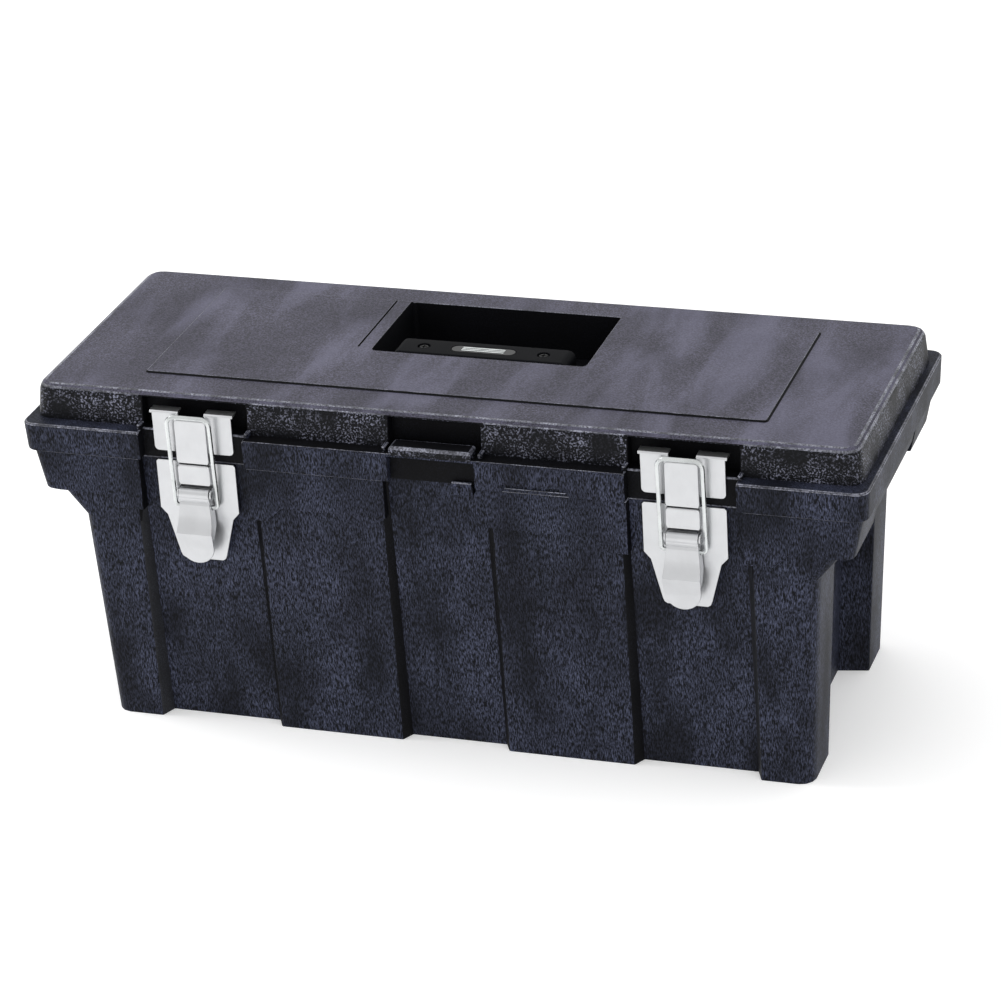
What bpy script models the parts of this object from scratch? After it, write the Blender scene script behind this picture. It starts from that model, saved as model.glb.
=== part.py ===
"""Plastic toolbox with a hinged lid, two steel draw latches and a lift-out tray.

Frame: X runs along the box, Y from the front to the back, Z up. The origin is at the middle of the underside.
The dimensions below are millimetres, and every mesh is written in metres.
"""

import math

import bmesh
import bpy
from mathutils import Matrix, Vector

MM = 0.001
GAP = 0.3

# Base: the tub and the rim band round its top.
PARTING_Z = 228.0
WALL = 4.0
FLARE_Z = (172.0, 196.0)
CENTRE_CHANNEL = 40.5
LATCH_CHANNEL = (145.5, 239.5)
CHANNEL_SLOPE = 2.5
POST_LENGTH_Y = 65.5
POST_CORNER = 12.0
BAND_Y = 128.0
BAND_Z = 195.6
BAND_DIP_Z = 184.0
END_STRIP_Z = 204.0
TONGUE_Z = 233.0

# Lid: a flange all round, and a narrower body above it.
FLANGE = (330.0, 132.0)
FLANGE_Z = 251.4
BODY = (323.5, 119.2)
TOP_Z = 278.6
PANEL_Z = 280.0
PANEL_X = 245.0
PANEL_Y = (-82.0, 87.0)
NOTCH_X = (149.0, 233.0)
NOTCH_BACK_Y = 108.0
LATCH_FACE_Y = 121.7
CENTRE_NOTCH_X = 36.0

# Carrying handle and the pocket that it sits in.
POCKET_X = 86.0
POCKET_Y = (-12.0, 88.0)
POCKET_FLOOR_Z = 240.0
POCKET_WALL = 3.5
GRIP_X = 70.0
GRIP_Y = (-10.0, 17.0)
GRIP_GAP_X = 38.0
GRIP_UNDER_Z = 264.0
SCREW_X = 48.0
SCREW_Y = 3.5
SCREW_HOLE_R = 2.3

# Hinge at the back.
HINGE_Y = 134.0
HINGE_Z = 228.0
KNUCKLE_R = 5.0
HINGE_PIN_R = 2.5
KNUCKLE_LENGTH = 60.0
BASE_KNUCKLES = (-210.0, -70.0, 70.0, 210.0)
LID_KNUCKLES = (-140.0, 0.0, 140.0)

# Draw latches, at plus and minus LATCH_X.
LATCH_X = 191.5
SHEET = 1.5
PLATE_HALF = 32.0
EAR_X = (10.5, 33.6)
EAR_Z = 267.0
EAR_BACK_Y = -115.5
TONGUE_HALF = 13.4
TONGUE_Z_SPAN = (227.2, 263.6)
BRIDGE_Z_SPAN = (209.4, 226.5)
TONGUE_FRONT_Y = -128.6
RIVET_HOLE_R = 2.3
PIVOT = (-128.9, 203.0)
PIVOT_PIN_R = 1.5
BAIL_PIVOT = (-127.6, 192.0)
BAIL_TOP = (-131.2, 266.7)
BAIL_X = 17.1
WIRE_R = 1.75
LEVER_HALF = 12.2
LEVER_WAIST_HALF = 13.2
LEVER_RIDGE_HALF = 14.4
ROLL_R = 4.7
LEVER_FRONT_Y = -133.0
LEVER_RIDGE = (-139.0, 173.0)
THUMB_R = 14.0
THUMB_END_Z = 147.2

# Tray and the shelves that carry it.
SHELF_Z = 150.0
SHELF_X = 233.0
TRAY_Z = (SHELF_Z + GAP, 200.0)
TRAY_BOTTOM = (245.0, 98.0)
TRAY_TOP = (251.0, 104.0)
TRAY_RIM = (255.0, 108.0)
TRAY_WALL = 2.5
TRAY_HANDLE_Z = 210.0
DIVIDER_X = 82.0


def clear_scene():
    for item in list(bpy.data.objects):
        bpy.data.objects.remove(item, do_unlink=True)


def srgb(value):
    return value / 12.92 if value <= 0.04045 else ((value + 0.055) / 1.055) ** 2.4


def material(name, colour, roughness, metallic=0.0):
    """A Principled material, from a colour as a hex number in sRGB."""
    made = bpy.data.materials.new(name)
    made.use_nodes = True
    shader = made.node_tree.nodes["Principled BSDF"]
    parts = [srgb(((colour >> shift) & 255) / 255) for shift in (16, 8, 0)]
    shader.inputs["Base Color"].default_value = (*parts, 1.0)
    shader.inputs["Roughness"].default_value = roughness
    shader.inputs["Metallic"].default_value = metallic
    return made


def rounded_corner(centre, radius, start, end, steps):
    """Points on an arc about centre, with start and end in degrees."""
    angles = [math.radians(start + (end - start) * i / steps) for i in range(steps + 1)]
    return [(centre[0] + radius * math.cos(a), centre[1] + radius * math.sin(a)) for a in angles]


def rounded_rectangle(x, y, radius, steps=4):
    """A counter-clockwise rounded rectangle between x = (low, high) and y = (low, high)."""
    points = []
    corners = ((x[1], y[0], -90), (x[1], y[1], 0), (x[0], y[1], 90), (x[0], y[0], 180))
    for corner_x, corner_y, start in corners:
        centre = (
            corner_x - math.copysign(radius, corner_x - sum(x) / 2),
            corner_y - math.copysign(radius, corner_y - sum(y) / 2),
        )
        points += rounded_corner(centre, radius, start, start + 90, steps)
    return points


def inset(outline, distance):
    """A counter-clockwise outline with every edge moved inwards by distance."""
    if not distance:
        return outline
    moved = []
    for i, corner in enumerate(outline):
        here = Vector(corner)
        before = (here - Vector(outline[i - 1])).normalized()
        after = (Vector(outline[(i + 1) % len(outline)]) - here).normalized()
        inward = Vector((-before.y, before.x)) + Vector((-after.y, after.x))
        inward.normalize()
        length = distance / inward.dot(Vector((-before.y, before.x)))
        moved.append(tuple(here + inward * length))
    return moved


def from_bmesh(name, bm, finish):
    """A new object from a bmesh in millimetres."""
    bmesh.ops.recalc_face_normals(bm, faces=bm.faces)
    bmesh.ops.scale(bm, vec=(MM, MM, MM), verts=bm.verts)
    mesh = bpy.data.meshes.new(name)
    bm.to_mesh(mesh)
    bm.free()
    made = bpy.data.objects.new(name, mesh)
    mesh.materials.append(finish)
    bpy.context.scene.collection.objects.link(made)
    return made


def loft(name, rings, finish):
    """A closed solid through rings of points, each ring flat and with the same number of points."""
    bm = bmesh.new()
    loops = [[bm.verts.new(point) for point in ring] for ring in rings]
    bm.faces.new(loops[0])
    bm.faces.new(loops[-1])
    sides = []
    for low, high in zip(loops, loops[1:]):
        for i in range(len(low)):
            j = (i + 1) % len(low)
            sides.append(bm.faces.new((low[i], low[j], high[j], high[i])))
    bmesh.ops.connect_verts_nonplanar(bm, angle_limit=0.0001, faces=sides)
    return from_bmesh(name, bm, finish)


def levels(name, outlines, finish):
    """A loft along Z through pairs of a height and an outline."""
    return loft(name, [[(x, y, z) for x, y in outline] for z, outline in outlines], finish)


def prism(name, outline, axis, span, finish):
    """An outline in the plane across axis, extruded between span = (low, high)."""
    place = {
        "X": lambda a, b, depth: (depth, a, b),
        "Y": lambda a, b, depth: (a, depth, b),
        "Z": lambda a, b, depth: (a, b, depth),
    }[axis]
    return loft(name, [[place(a, b, depth) for a, b in outline] for depth in span], finish)


def block(name, x, y, z, finish):
    outline = [(x[0], y[0]), (x[1], y[0]), (x[1], y[1]), (x[0], y[1])]
    return prism(name, outline, "Z", z, finish)


def rod(name, axis, centre, radius, span, finish, sides=24):
    """A cylinder along axis, with centre in the plane across it."""
    outline = rounded_corner(centre, radius, 0, 360, sides)[:-1]
    return prism(name, outline, axis, span, finish)


def turned(name, profile, place, finish, sides=20):
    """A solid turned about +Y from (radius, depth) points that start and end on the axis."""
    bm = bmesh.new()
    points = [bm.verts.new((radius, depth, 0.0)) for radius, depth in profile]
    edges = [bm.edges.new(pair) for pair in zip(points, points[1:])]
    about = {"axis": (0, 1, 0), "cent": (0, 0, 0), "angle": 2 * math.pi}
    bmesh.ops.spin(bm, geom=points + edges, steps=sides, use_merge=True, **about)
    bmesh.ops.remove_doubles(bm, verts=bm.verts, dist=0.001)
    bmesh.ops.translate(bm, verts=bm.verts, vec=place)
    return from_bmesh(name, bm, finish)


def combine(target, operation, helpers):
    """Adds one exact Boolean for each helper, and keeps the helper out of the model."""
    for helper in helpers:
        change = target.modifiers.new(helper.name, "BOOLEAN")
        change.operation = operation
        change.object = helper
        change.solver = "EXACT"
        helper.hide_render = True
        helper.display_type = "WIRE"
    return target


def join(target, *helpers):
    return combine(target, "UNION", helpers)


def cut(target, *helpers):
    return combine(target, "DIFFERENCE", helpers)


def move_origin(item, point):
    """Puts an object's origin at a point in millimetres, and leaves its shape where it is."""
    offset = Vector(point) * MM
    item.data.transform(Matrix.Translation(-offset))
    item.location = offset
    return item


def smooth(item, angle=35.0):
    item.data.shade_smooth()
    item.data.set_sharp_from_angle(angle=math.radians(angle))
    return item


def attach(child, parent):
    """Parents an object or an empty, and leaves it where it is."""
    bpy.context.view_layer.update()
    child.parent = parent
    child.matrix_parent_inverse = parent.matrix_world.inverted()


def axis_empty(name, point):
    made = bpy.data.objects.new(name, None)
    made.location = Vector(point) * MM
    bpy.context.scene.collection.objects.link(made)
    return made


def plate_outline(centre_x, shrink=0.0):
    """The outline of a latch's base plate, broad at the top and tapered below, moved in by shrink."""
    top = PARTING_Z - 1.2
    corner = 1.5 + shrink
    half = [(PLATE_HALF - corner, top), (PLATE_HALF, top - corner), (PLATE_HALF, 186.4), (26.8, 180.6)]
    half += [(18.8, 149.4), (17.6, 146.6), (15.4, 145.2)]
    half.reverse()
    outline = half + [(-x, z) for x, z in reversed(half)]
    return [(centre_x + x, z) for x, z in inset(outline, shrink)]


class Base:
    """The tub: drafted walls with corner posts, foot panels, channels, recessed ends and a rim band."""

    def __init__(self, finishes):
        self.plastic = finishes["plastic"]
        self.steel = finishes["pin"]

    def outline(self, z, wall=0.0):
        """The tub's plan at a height, with the walls moved in by wall."""
        flare = min(max((z - FLARE_Z[0]) / (FLARE_Z[1] - FLARE_Z[0]), 0.0), 1.0)
        post_x = 282.0 + 0.0465 * min(z, FLARE_Z[0]) + 19.0 * flare
        recess_x = 258.0 + 0.0465 * z
        post_y = 118.0 + 0.030 * z
        panel_y = 115.5 + 0.037 * z
        channel_y = 106.0 + 0.066 * z
        slope = CHANNEL_SLOPE
        front = [
            (CENTRE_CHANNEL - slope, -channel_y),
            (CENTRE_CHANNEL + slope, -panel_y),
            (LATCH_CHANNEL[0] - slope, -panel_y),
            (LATCH_CHANNEL[0] + slope, -channel_y),
            (LATCH_CHANNEL[1] - slope, -channel_y),
            (LATCH_CHANNEL[1] + slope, -post_y),
        ]
        centre = (post_x - POST_CORNER, POST_CORNER - post_y)
        front += rounded_corner(centre, POST_CORNER, -90, 0, 3)
        front += [(post_x, -POST_LENGTH_Y - slope), (recess_x, -POST_LENGTH_Y + slope)]
        right = front + [(x, -y) for x, y in reversed(front)]
        return inset(right + [(-x, -y) for x, y in right], wall)

    def corner_band(self, side_x, side_y):
        """One corner of the rim band, rounded where the front or back meets the end."""
        rings = []
        for z, reach in ((BAND_Z, 318.0), (PARTING_Z + 3.0, 325.6)):
            outline = [(236.0, -64.0), (236.0, -BAND_Y)]
            outline += rounded_corner((reach - 9.0, 9.0 - BAND_Y), 9.0, -90, 0, 4)
            outline += [(reach, -64.0)]
            rings.append((z, [(side_x * x, side_y * y) for x, y in outline]))
        name = f"corner_band_{'right' if side_x > 0 else 'left'}_{'front' if side_y > 0 else 'back'}"
        return levels(name, rings, self.plastic)

    def front_band(self, side):
        """The band over one foot panel, deeper beside the latch channel."""
        top = PARTING_Z + 2.0
        points = [
            (39.4, top),
            (39.4, BAND_Z),
            (123.0, BAND_Z),
            (134.0, BAND_DIP_Z),
            (149.0, BAND_DIP_Z),
            (149.0, top),
        ]
        outline = [(side * x, z) for x, z in points]
        return prism(f"front_band_{side}", outline, "Y", (-BAND_Y, -113.7), self.plastic)

    def corner_dip(self, side):
        """The deeper stretch of the corner band, beside the latch channel."""
        points = [(236.2, 200.0), (236.2, BAND_DIP_Z), (259.0, BAND_DIP_Z)]
        points += [(271.0, BAND_Z + 1.0), (271.0, 200.0)]
        outline = [(side * x, z) for x, z in points]
        return prism(f"corner_dip_{side}", outline, "Y", (0.2 - BAND_Y, -112.0), self.plastic)

    def end_strip(self, side):
        """The rim band across one end, between the corners."""
        top = PARTING_Z + 4.0
        points = [(266.0, END_STRIP_Z), (319.3, END_STRIP_Z), (325.1, top), (266.0, top)]
        outline = [(side * x, z) for x, z in points]
        return prism(f"end_strip_{side}", outline, "Y", (-66.0, 66.0), self.plastic)

    def hand_hold(self, side):
        """The finger space under one end of the rim."""
        x = sorted((side * 273.0, side * 315.5))
        z = (END_STRIP_Z - 5.0, PARTING_Z - 4.0)
        return block(f"hand_hold_{side}", x, (-60.0, 60.0), z, self.plastic)

    def latch_pad(self, side):
        """The flat pad that a latch's base plate is riveted to."""
        outline = plate_outline(side * LATCH_X, 3.0)
        return prism(f"latch_pad_{side}", outline, "Y", (-LATCH_FACE_Y, -110.0), self.plastic)

    def tray_shelf(self, side):
        """A gusset on one end wall, whose flat top carries the tray."""
        points = [(263.0, SHELF_Z - 32.0), (263.0, SHELF_Z), (SHELF_X, SHELF_Z), (SHELF_X, SHELF_Z - 3.0)]
        outline = [(side * x, z) for x, z in points]
        return prism(f"tray_shelf_{side}", outline, "Y", (-56.0, 56.0), self.plastic)

    def rim_tongue(self):
        """The locating tongue inside the lid, on a ledge round the top of the walls."""
        ledge = levels(
            "rim_ledge",
            [(z, self.outline(PARTING_Z, 2.0)) for z in (PARTING_Z - 6.0, PARTING_Z - 0.5)],
            self.plastic,
        )
        ridge = levels(
            "rim_ridge",
            [(z, self.outline(PARTING_Z, 6.5)) for z in (PARTING_Z - 4.0, TONGUE_Z)],
            self.plastic,
        )
        inside = levels(
            "rim_inside",
            [(z, self.outline(PARTING_Z, 9.0)) for z in (PARTING_Z - 10.0, TONGUE_Z + 1.0)],
            self.plastic,
        )
        join(ledge, ridge)
        return cut(ledge, inside)

    def knuckle(self, centre_x):
        """A hinge knuckle on the back of the rim band."""
        x = (centre_x - KNUCKLE_LENGTH / 2, centre_x + KNUCKLE_LENGTH / 2)
        name = f"base_knuckle_{centre_x:.0f}"
        web = [(124.0, 212.0), (128.5, 212.0), (137.5, 224.0), (136.0, 227.0), (124.0, PARTING_Z - 0.5)]
        barrel = rod(name, "X", (HINGE_Y, HINGE_Z), KNUCKLE_R, x, self.plastic)
        return [prism(f"{name}_web", web, "X", (x[0] + 1.0, x[1] - 1.0), self.plastic), barrel]

    def rivet_holes(self):
        holes = []
        for side in (-1, 1):
            for z in Latch.BASE_RIVETS:
                centre = (side * LATCH_X, z)
                name = f"base_rivet_hole_{side}_{z:.0f}"
                holes.append(rod(name, "Y", centre, RIVET_HOLE_R, (-125.0, -113.5), self.plastic, 12))
        return holes

    def build(self):
        heights = (0.0, FLARE_Z[0], FLARE_Z[1], PARTING_Z + 1.0)
        shell = levels("base_shell", [(z, self.outline(z)) for z in heights], self.plastic)
        join(shell, *[self.corner_band(x, y) for x in (-1, 1) for y in (-1, 1)])
        back_z = (BAND_Z + 0.2, PARTING_Z + 5.0)
        join(shell, block("back_band", (-238.0, 238.0), (114.0, BAND_Y - 0.2), back_z, self.plastic))
        for side in (-1, 1):
            join(shell, self.front_band(side), self.corner_dip(side), self.end_strip(side))
            join(shell, self.latch_pad(side))
        above_z = (PARTING_Z, PARTING_Z + 20.0)
        cut(shell, block("above_rim", (-400.0, 400.0), (-200.0, 200.0), above_z, self.plastic))
        for centre_x in BASE_KNUCKLES:
            join(shell, *self.knuckle(centre_x))
        heights = (WALL, FLARE_Z[0] + 2.0, FLARE_Z[1] + 2.0, PARTING_Z + 1.0)
        cut(shell, levels("cavity", [(z, self.outline(z, WALL)) for z in heights], self.plastic))
        join(shell, self.rim_tongue())
        for side in (-1, 1):
            join(shell, self.tray_shelf(side))
            cut(shell, self.hand_hold(side))
        hinge_axis = (HINGE_Y, HINGE_Z)
        cut(shell, rod("hinge_bore", "X", hinge_axis, HINGE_PIN_R + GAP, (-300.0, 300.0), self.plastic))
        shelf_z = (221.0, PARTING_Z - 0.2)
        join(
            shell,
            block("padlock_shelf", (14.0, 31.0), (-128.4, -116.0), shelf_z, self.plastic),
            block("padlock_tab", (14.5, 30.5), (-128.2, -125.6), (224.0, 231.5), self.plastic),
        )
        cut(shell, *self.rivet_holes())
        smooth(shell)

        profile = [(0.0, -248.0), (3.8, -248.0), (4.0, -246.5), (HINGE_PIN_R, -246.5), (HINGE_PIN_R, 246.5)]
        profile += [(4.0, 246.5), (3.8, 248.0), (0.0, 248.0)]
        pin = turned("hinge_pin", profile, (0.0, 0.0, 0.0), self.steel)
        pin.data.transform(Matrix.Rotation(math.pi / 2, 4, "Z"))
        pin.location = Vector((0.0, HINGE_Y, HINGE_Z)) * MM
        smooth(pin)
        return [shell, pin]


class Lid:
    """The lid shell with its handle pocket, the grip screwed into it, and the name plate."""

    def __init__(self, finishes):
        self.plastic = finishes["plastic"]
        self.grip_plastic = finishes["grip"]
        self.screw_steel = finishes["screw"]
        self.badge_metal = finishes["badge"]

    def body(self):
        flange = [
            (PARTING_Z + GAP, rounded_rectangle((-329.0, 329.0), (-131.0, 131.0), 10.0)),
            (FLANGE_Z - 1.2, rounded_rectangle((-330.0, 330.0), (-132.0, 132.0), 10.0)),
            (FLANGE_Z, rounded_rectangle((-328.8, 328.8), (-130.8, 130.8), 9.0)),
        ]
        x, y = BODY
        upper = [
            (FLANGE_Z - 3.0, rounded_rectangle((-x, x), (-y, y), 12.0)),
            (TOP_Z - 6.0, rounded_rectangle((2.4 - x, x - 2.4), (1.6 - y, y - 1.6), 12.0)),
            (TOP_Z - 2.0, rounded_rectangle((3.6 - x, x - 3.6), (2.8 - y, y - 2.8), 12.0)),
            (TOP_Z, rounded_rectangle((7.0 - x, x - 7.0), (6.2 - y, y - 6.2), 10.0)),
        ]
        shell = levels("lid_shell", flange, self.plastic)
        return join(shell, levels("lid_body", upper, self.plastic))

    def hollow(self):
        low = rounded_rectangle((-324.0, 324.0), (-126.0, 122.0), 7.0)
        x, y = BODY[0] - 5.0, BODY[1] - 5.2
        high = rounded_rectangle((-x, x), (-y, y), 9.0)
        top = rounded_rectangle((2.0 - x, x - 2.0), (1.5 - y, y - 1.5), 9.0)
        return [
            levels("flange_hollow", [(PARTING_Z - 1.0, low), (FLANGE_Z - 4.0, low)], self.plastic),
            levels("body_hollow", [(FLANGE_Z - 8.0, high), (TOP_Z - 4.0, top)], self.plastic),
        ]

    def top_panel(self):
        rise = PANEL_Z - TOP_Z
        edge = [(-PANEL_X, PANEL_X), PANEL_Y]
        low = rounded_rectangle(*edge, 3.0, 2)
        high = inset(low, rise)
        panel = levels("top_panel", [(TOP_Z - 2.0, low), (TOP_Z, low), (PANEL_Z, high)], self.plastic)
        groove_z = (PANEL_Z - 1.0, PANEL_Z + 1.0)
        groove = block("pocket_groove", (-98.8, -97.2), (-7.0, 90.0), groove_z, self.plastic)
        return cut(panel, groove)

    def notch_backs(self, side):
        """The wall behind one latch notch, set back further above the flange."""
        x = sorted((side * (NOTCH_X[0] - 3.0), side * (NOTCH_X[1] + 3.0)))
        low_z = (PARTING_Z + GAP, FLANGE_Z + 4.0)
        high_z = (FLANGE_Z - 2.0, TOP_Z - 2.0)
        low = block(f"notch_wall_{side}", x, (-126.5, -117.0), low_z, self.plastic)
        high = block(f"notch_back_{side}", x, (-117.5, 4.0 - NOTCH_BACK_Y), high_z, self.plastic)
        return low, high

    def notches(self, side):
        x = sorted((side * NOTCH_X[0], side * NOTCH_X[1]))
        low_z = (PARTING_Z - 2.0, FLANGE_Z + 1.5)
        high_z = (FLANGE_Z, TOP_Z - 3.2)
        low = block(f"flange_notch_{side}", x, (-140.0, -LATCH_FACE_Y), low_z, self.plastic)
        high = block(f"body_notch_{side}", x, (-140.0, -NOTCH_BACK_Y), high_z, self.plastic)
        return low, high

    def centre_front(self, shell):
        """The notch over the padlock ledge, the raised ledge itself and the recess under it."""
        wide = (-CENTRE_NOTCH_X - 3.0, CENTRE_NOTCH_X + 3.0)
        low_z = (PARTING_Z + GAP, FLANGE_Z + 4.0)
        high_z = (FLANGE_Z - 2.0, TOP_Z - 2.0)
        join(
            shell,
            block("centre_wall", wide, (-128.0, -117.0), low_z, self.plastic),
            block("centre_back", wide, (-117.5, 4.0 - NOTCH_BACK_Y), high_z, self.plastic),
        )
        notch_x = (-CENTRE_NOTCH_X, CENTRE_NOTCH_X)
        notch_z = (FLANGE_Z, TOP_Z - 3.2)
        cut(shell, block("centre_notch", notch_x, (-140.0, -NOTCH_BACK_Y), notch_z, self.plastic))
        ledge_z = (FLANGE_Z - 3.0, 257.6)
        join(shell, block("padlock_ledge", (-32.0, 32.0), (-131.6, -116.0), ledge_z, self.plastic))
        cut(
            shell,
            block("padlock_recess", (-34.0, 34.0), (-140.0, -124.6), (PARTING_Z - 1.0, 249.6), self.plastic),
            block("front_slot", (55.0, 106.0), (-140.0, -130.0), (PARTING_Z - 1.0, 234.2), self.plastic),
        )
        join(shell, block("front_rib", (57.0, 104.0), (-131.4, -129.0), (230.6, 231.9), self.plastic))

    def knuckle(self, centre_x):
        x = (centre_x - KNUCKLE_LENGTH / 2, centre_x + KNUCKLE_LENGTH / 2)
        name = f"lid_knuckle_{centre_x:.0f}"
        web = [(128.4, 229.0), (HINGE_Y + 1.0, HINGE_Z), (138.0, 231.0), (131.5, 243.0), (128.4, 243.0)]
        barrel = rod(name, "X", (HINGE_Y, HINGE_Z), KNUCKLE_R, x, self.plastic)
        return [prism(f"{name}_web", web, "X", (x[0] + 1.0, x[1] - 1.0), self.plastic), barrel]

    def knuckle_clearance(self, centre_x):
        """The space in the flange for one of the base's knuckles."""
        half = KNUCKLE_LENGTH / 2 + 1.0
        y = (BAND_Y + 0.4, 145.0)
        x = (centre_x - half, centre_x + half)
        return block(f"knuckle_space_{centre_x:.0f}", x, y, (220.0, 234.5), self.plastic)

    def pocket(self, shell):
        """The handle pocket with its floor, and a boss under it for each handle screw."""
        x = (-POCKET_X - POCKET_WALL, POCKET_X + POCKET_WALL)
        y = (POCKET_Y[0] - POCKET_WALL, POCKET_Y[1] + POCKET_WALL)
        join(shell, block("pocket_box", x, y, (POCKET_FLOOR_Z - 4.0, TOP_Z - 1.0), self.plastic))
        outline = rounded_rectangle((-POCKET_X, POCKET_X), POCKET_Y, 4.0, 3)
        cut(shell, prism("pocket_opening", outline, "Z", (POCKET_FLOOR_Z, PANEL_Z + 2.0), self.plastic))
        for side in (-1, 1):
            centre = (side * SCREW_X, SCREW_Y)
            boss_z = (231.5, POCKET_FLOOR_Z - 2.0)
            hole_z = (233.2, POCKET_FLOOR_Z + 2.0)
            join(shell, rod(f"boss_{side}", "Z", centre, 6.0, boss_z, self.plastic, 20))
            cut(shell, rod(f"boss_hole_{side}", "Z", centre, SCREW_HOLE_R, hole_z, self.plastic, 12))

    def shell(self):
        shell = self.body()
        cut(shell, *self.hollow())
        join(shell, self.top_panel())
        for side in (-1, 1):
            join(shell, *self.notch_backs(side))
            cut(shell, *self.notches(side))
        self.centre_front(shell)
        for centre_x in BASE_KNUCKLES:
            cut(shell, self.knuckle_clearance(centre_x))
        for side in (-1, 1):
            x = sorted((side * 240.0, side * 250.0))
            y = (BAND_Y + 0.6, 146.0)
            cut(shell, block(f"pin_head_space_{side}", x, y, (221.0, 234.2), self.plastic))
        for centre_x in LID_KNUCKLES:
            join(shell, *self.knuckle(centre_x))
        hinge_axis = (HINGE_Y, HINGE_Z)
        cut(shell, rod("lid_bore", "X", hinge_axis, HINGE_PIN_R + GAP, (-300.0, 300.0), self.plastic))
        self.pocket(shell)
        for side in (-1, 1):
            for x in Latch.STRIKE_RIVETS:
                centre = (side * LATCH_X + x, Latch.STRIKE_RIVET_Z)
                name = f"strike_rivet_hole_{side}_{x:.0f}"
                cut(shell, rod(name, "Y", centre, RIVET_HOLE_R, (-125.0, -110.0), self.plastic, 12))
        return smooth(shell)

    def grip(self):
        """A bridge-shaped grip on two legs, with the finger gap between them."""
        floor = POCKET_FLOOR_Z + GAP
        top = PANEL_Z
        outline = [(-GRIP_X, floor), (-GRIP_GAP_X - 4.0, floor)]
        arch = rounded_corner((-GRIP_GAP_X + 4.0, GRIP_UNDER_Z - 8.0), 8.0, 180, 90, 4)
        outline += arch + [(-x, z) for x, z in reversed(arch)]
        outline += [(GRIP_GAP_X + 4.0, floor), (GRIP_X, floor)]
        shoulder = rounded_corner((GRIP_X - 6.0, top - 6.0), 6.0, 0, 90, 4)
        outline += shoulder + [(-x, z) for x, z in reversed(shoulder)]
        steps = ((0.0, 1.8), (0.6, 0.6), (1.8, 0.0))
        sections = [(GRIP_Y[0] + depth, shrink) for depth, shrink in steps]
        sections += [(GRIP_Y[1] - depth, shrink) for depth, shrink in reversed(steps)]
        rings = [[(x, y, z) for x, z in inset(outline, shrink)] for y, shrink in sections]
        grip = loft("handle_grip", rings, self.grip_plastic)
        window = prism(
            "badge_window",
            rounded_rectangle((-26.0, 26.0), (SCREW_Y - 5.8, SCREW_Y + 5.8), 5.6),
            "Z",
            (top - 1.2, top + 1.0),
            self.grip_plastic,
        )
        cut(grip, window)
        for side in (-1, 1):
            centre = (side * SCREW_X, SCREW_Y)
            seat = rod(f"screw_seat_{side}", "Z", centre, 5.0, (top - 3.2, top + 1.0), self.grip_plastic, 20)
            hole_z = (floor - 1.0, top)
            hole = rod(f"screw_hole_{side}", "Z", centre, SCREW_HOLE_R, hole_z, self.grip_plastic, 12)
            cut(grip, seat, hole)
        return smooth(grip)

    def screw(self, side):
        """A pan-head screw with a cross recess, standing upright in the grip."""
        name = f"handle_screw_{'right' if side > 0 else 'left'}"
        under = PANEL_Z - 3.2 + GAP
        profile = [(0.0, 233.6), (1.6, 234.0), (2.0, 235.0), (2.0, under), (4.4, under)]
        profile += [(4.4, under + 1.4), (3.2, under + 2.3), (0.0, under + 2.6)]
        screw = turned(name, profile, (0.0, 0.0, 0.0), self.screw_steel)
        screw.data.transform(Matrix.Rotation(math.pi / 2, 4, "X"))
        screw.location = Vector((side * SCREW_X, SCREW_Y, 0.0)) * MM
        slots = []
        for i, (half_x, half_y) in enumerate(((2.4, 0.5), (0.5, 2.4))):
            x = (side * SCREW_X - half_x, side * SCREW_X + half_x)
            y = (SCREW_Y - half_y, SCREW_Y + half_y)
            slots.append(block(f"{name}_slot_{i}", x, y, (under + 1.2, under + 4.0), self.screw_steel))
        cut(screw, *slots)
        return smooth(screw)

    def badge(self):
        """A plain oval plate with three raised bars, in the window on top of the grip."""
        low = PANEL_Z - 1.2 + GAP
        outline = rounded_rectangle((-25.5, 25.5), (SCREW_Y - 5.3, SCREW_Y + 5.3), 5.2)
        plate = prism("handle_badge", outline, "Z", (low, low + 0.8), self.badge_metal)
        for i in range(3):
            y = SCREW_Y + 2.6 * (i - 1)
            bar_z = (low + 0.4, low + 1.1)
            join(plate, block(f"badge_bar_{i}", (-17.0, 17.0), (y - 0.7, y + 0.7), bar_z, self.badge_metal))
        return plate

    def build(self):
        return [self.shell(), self.grip(), self.screw(-1), self.screw(1), self.badge()]


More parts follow.
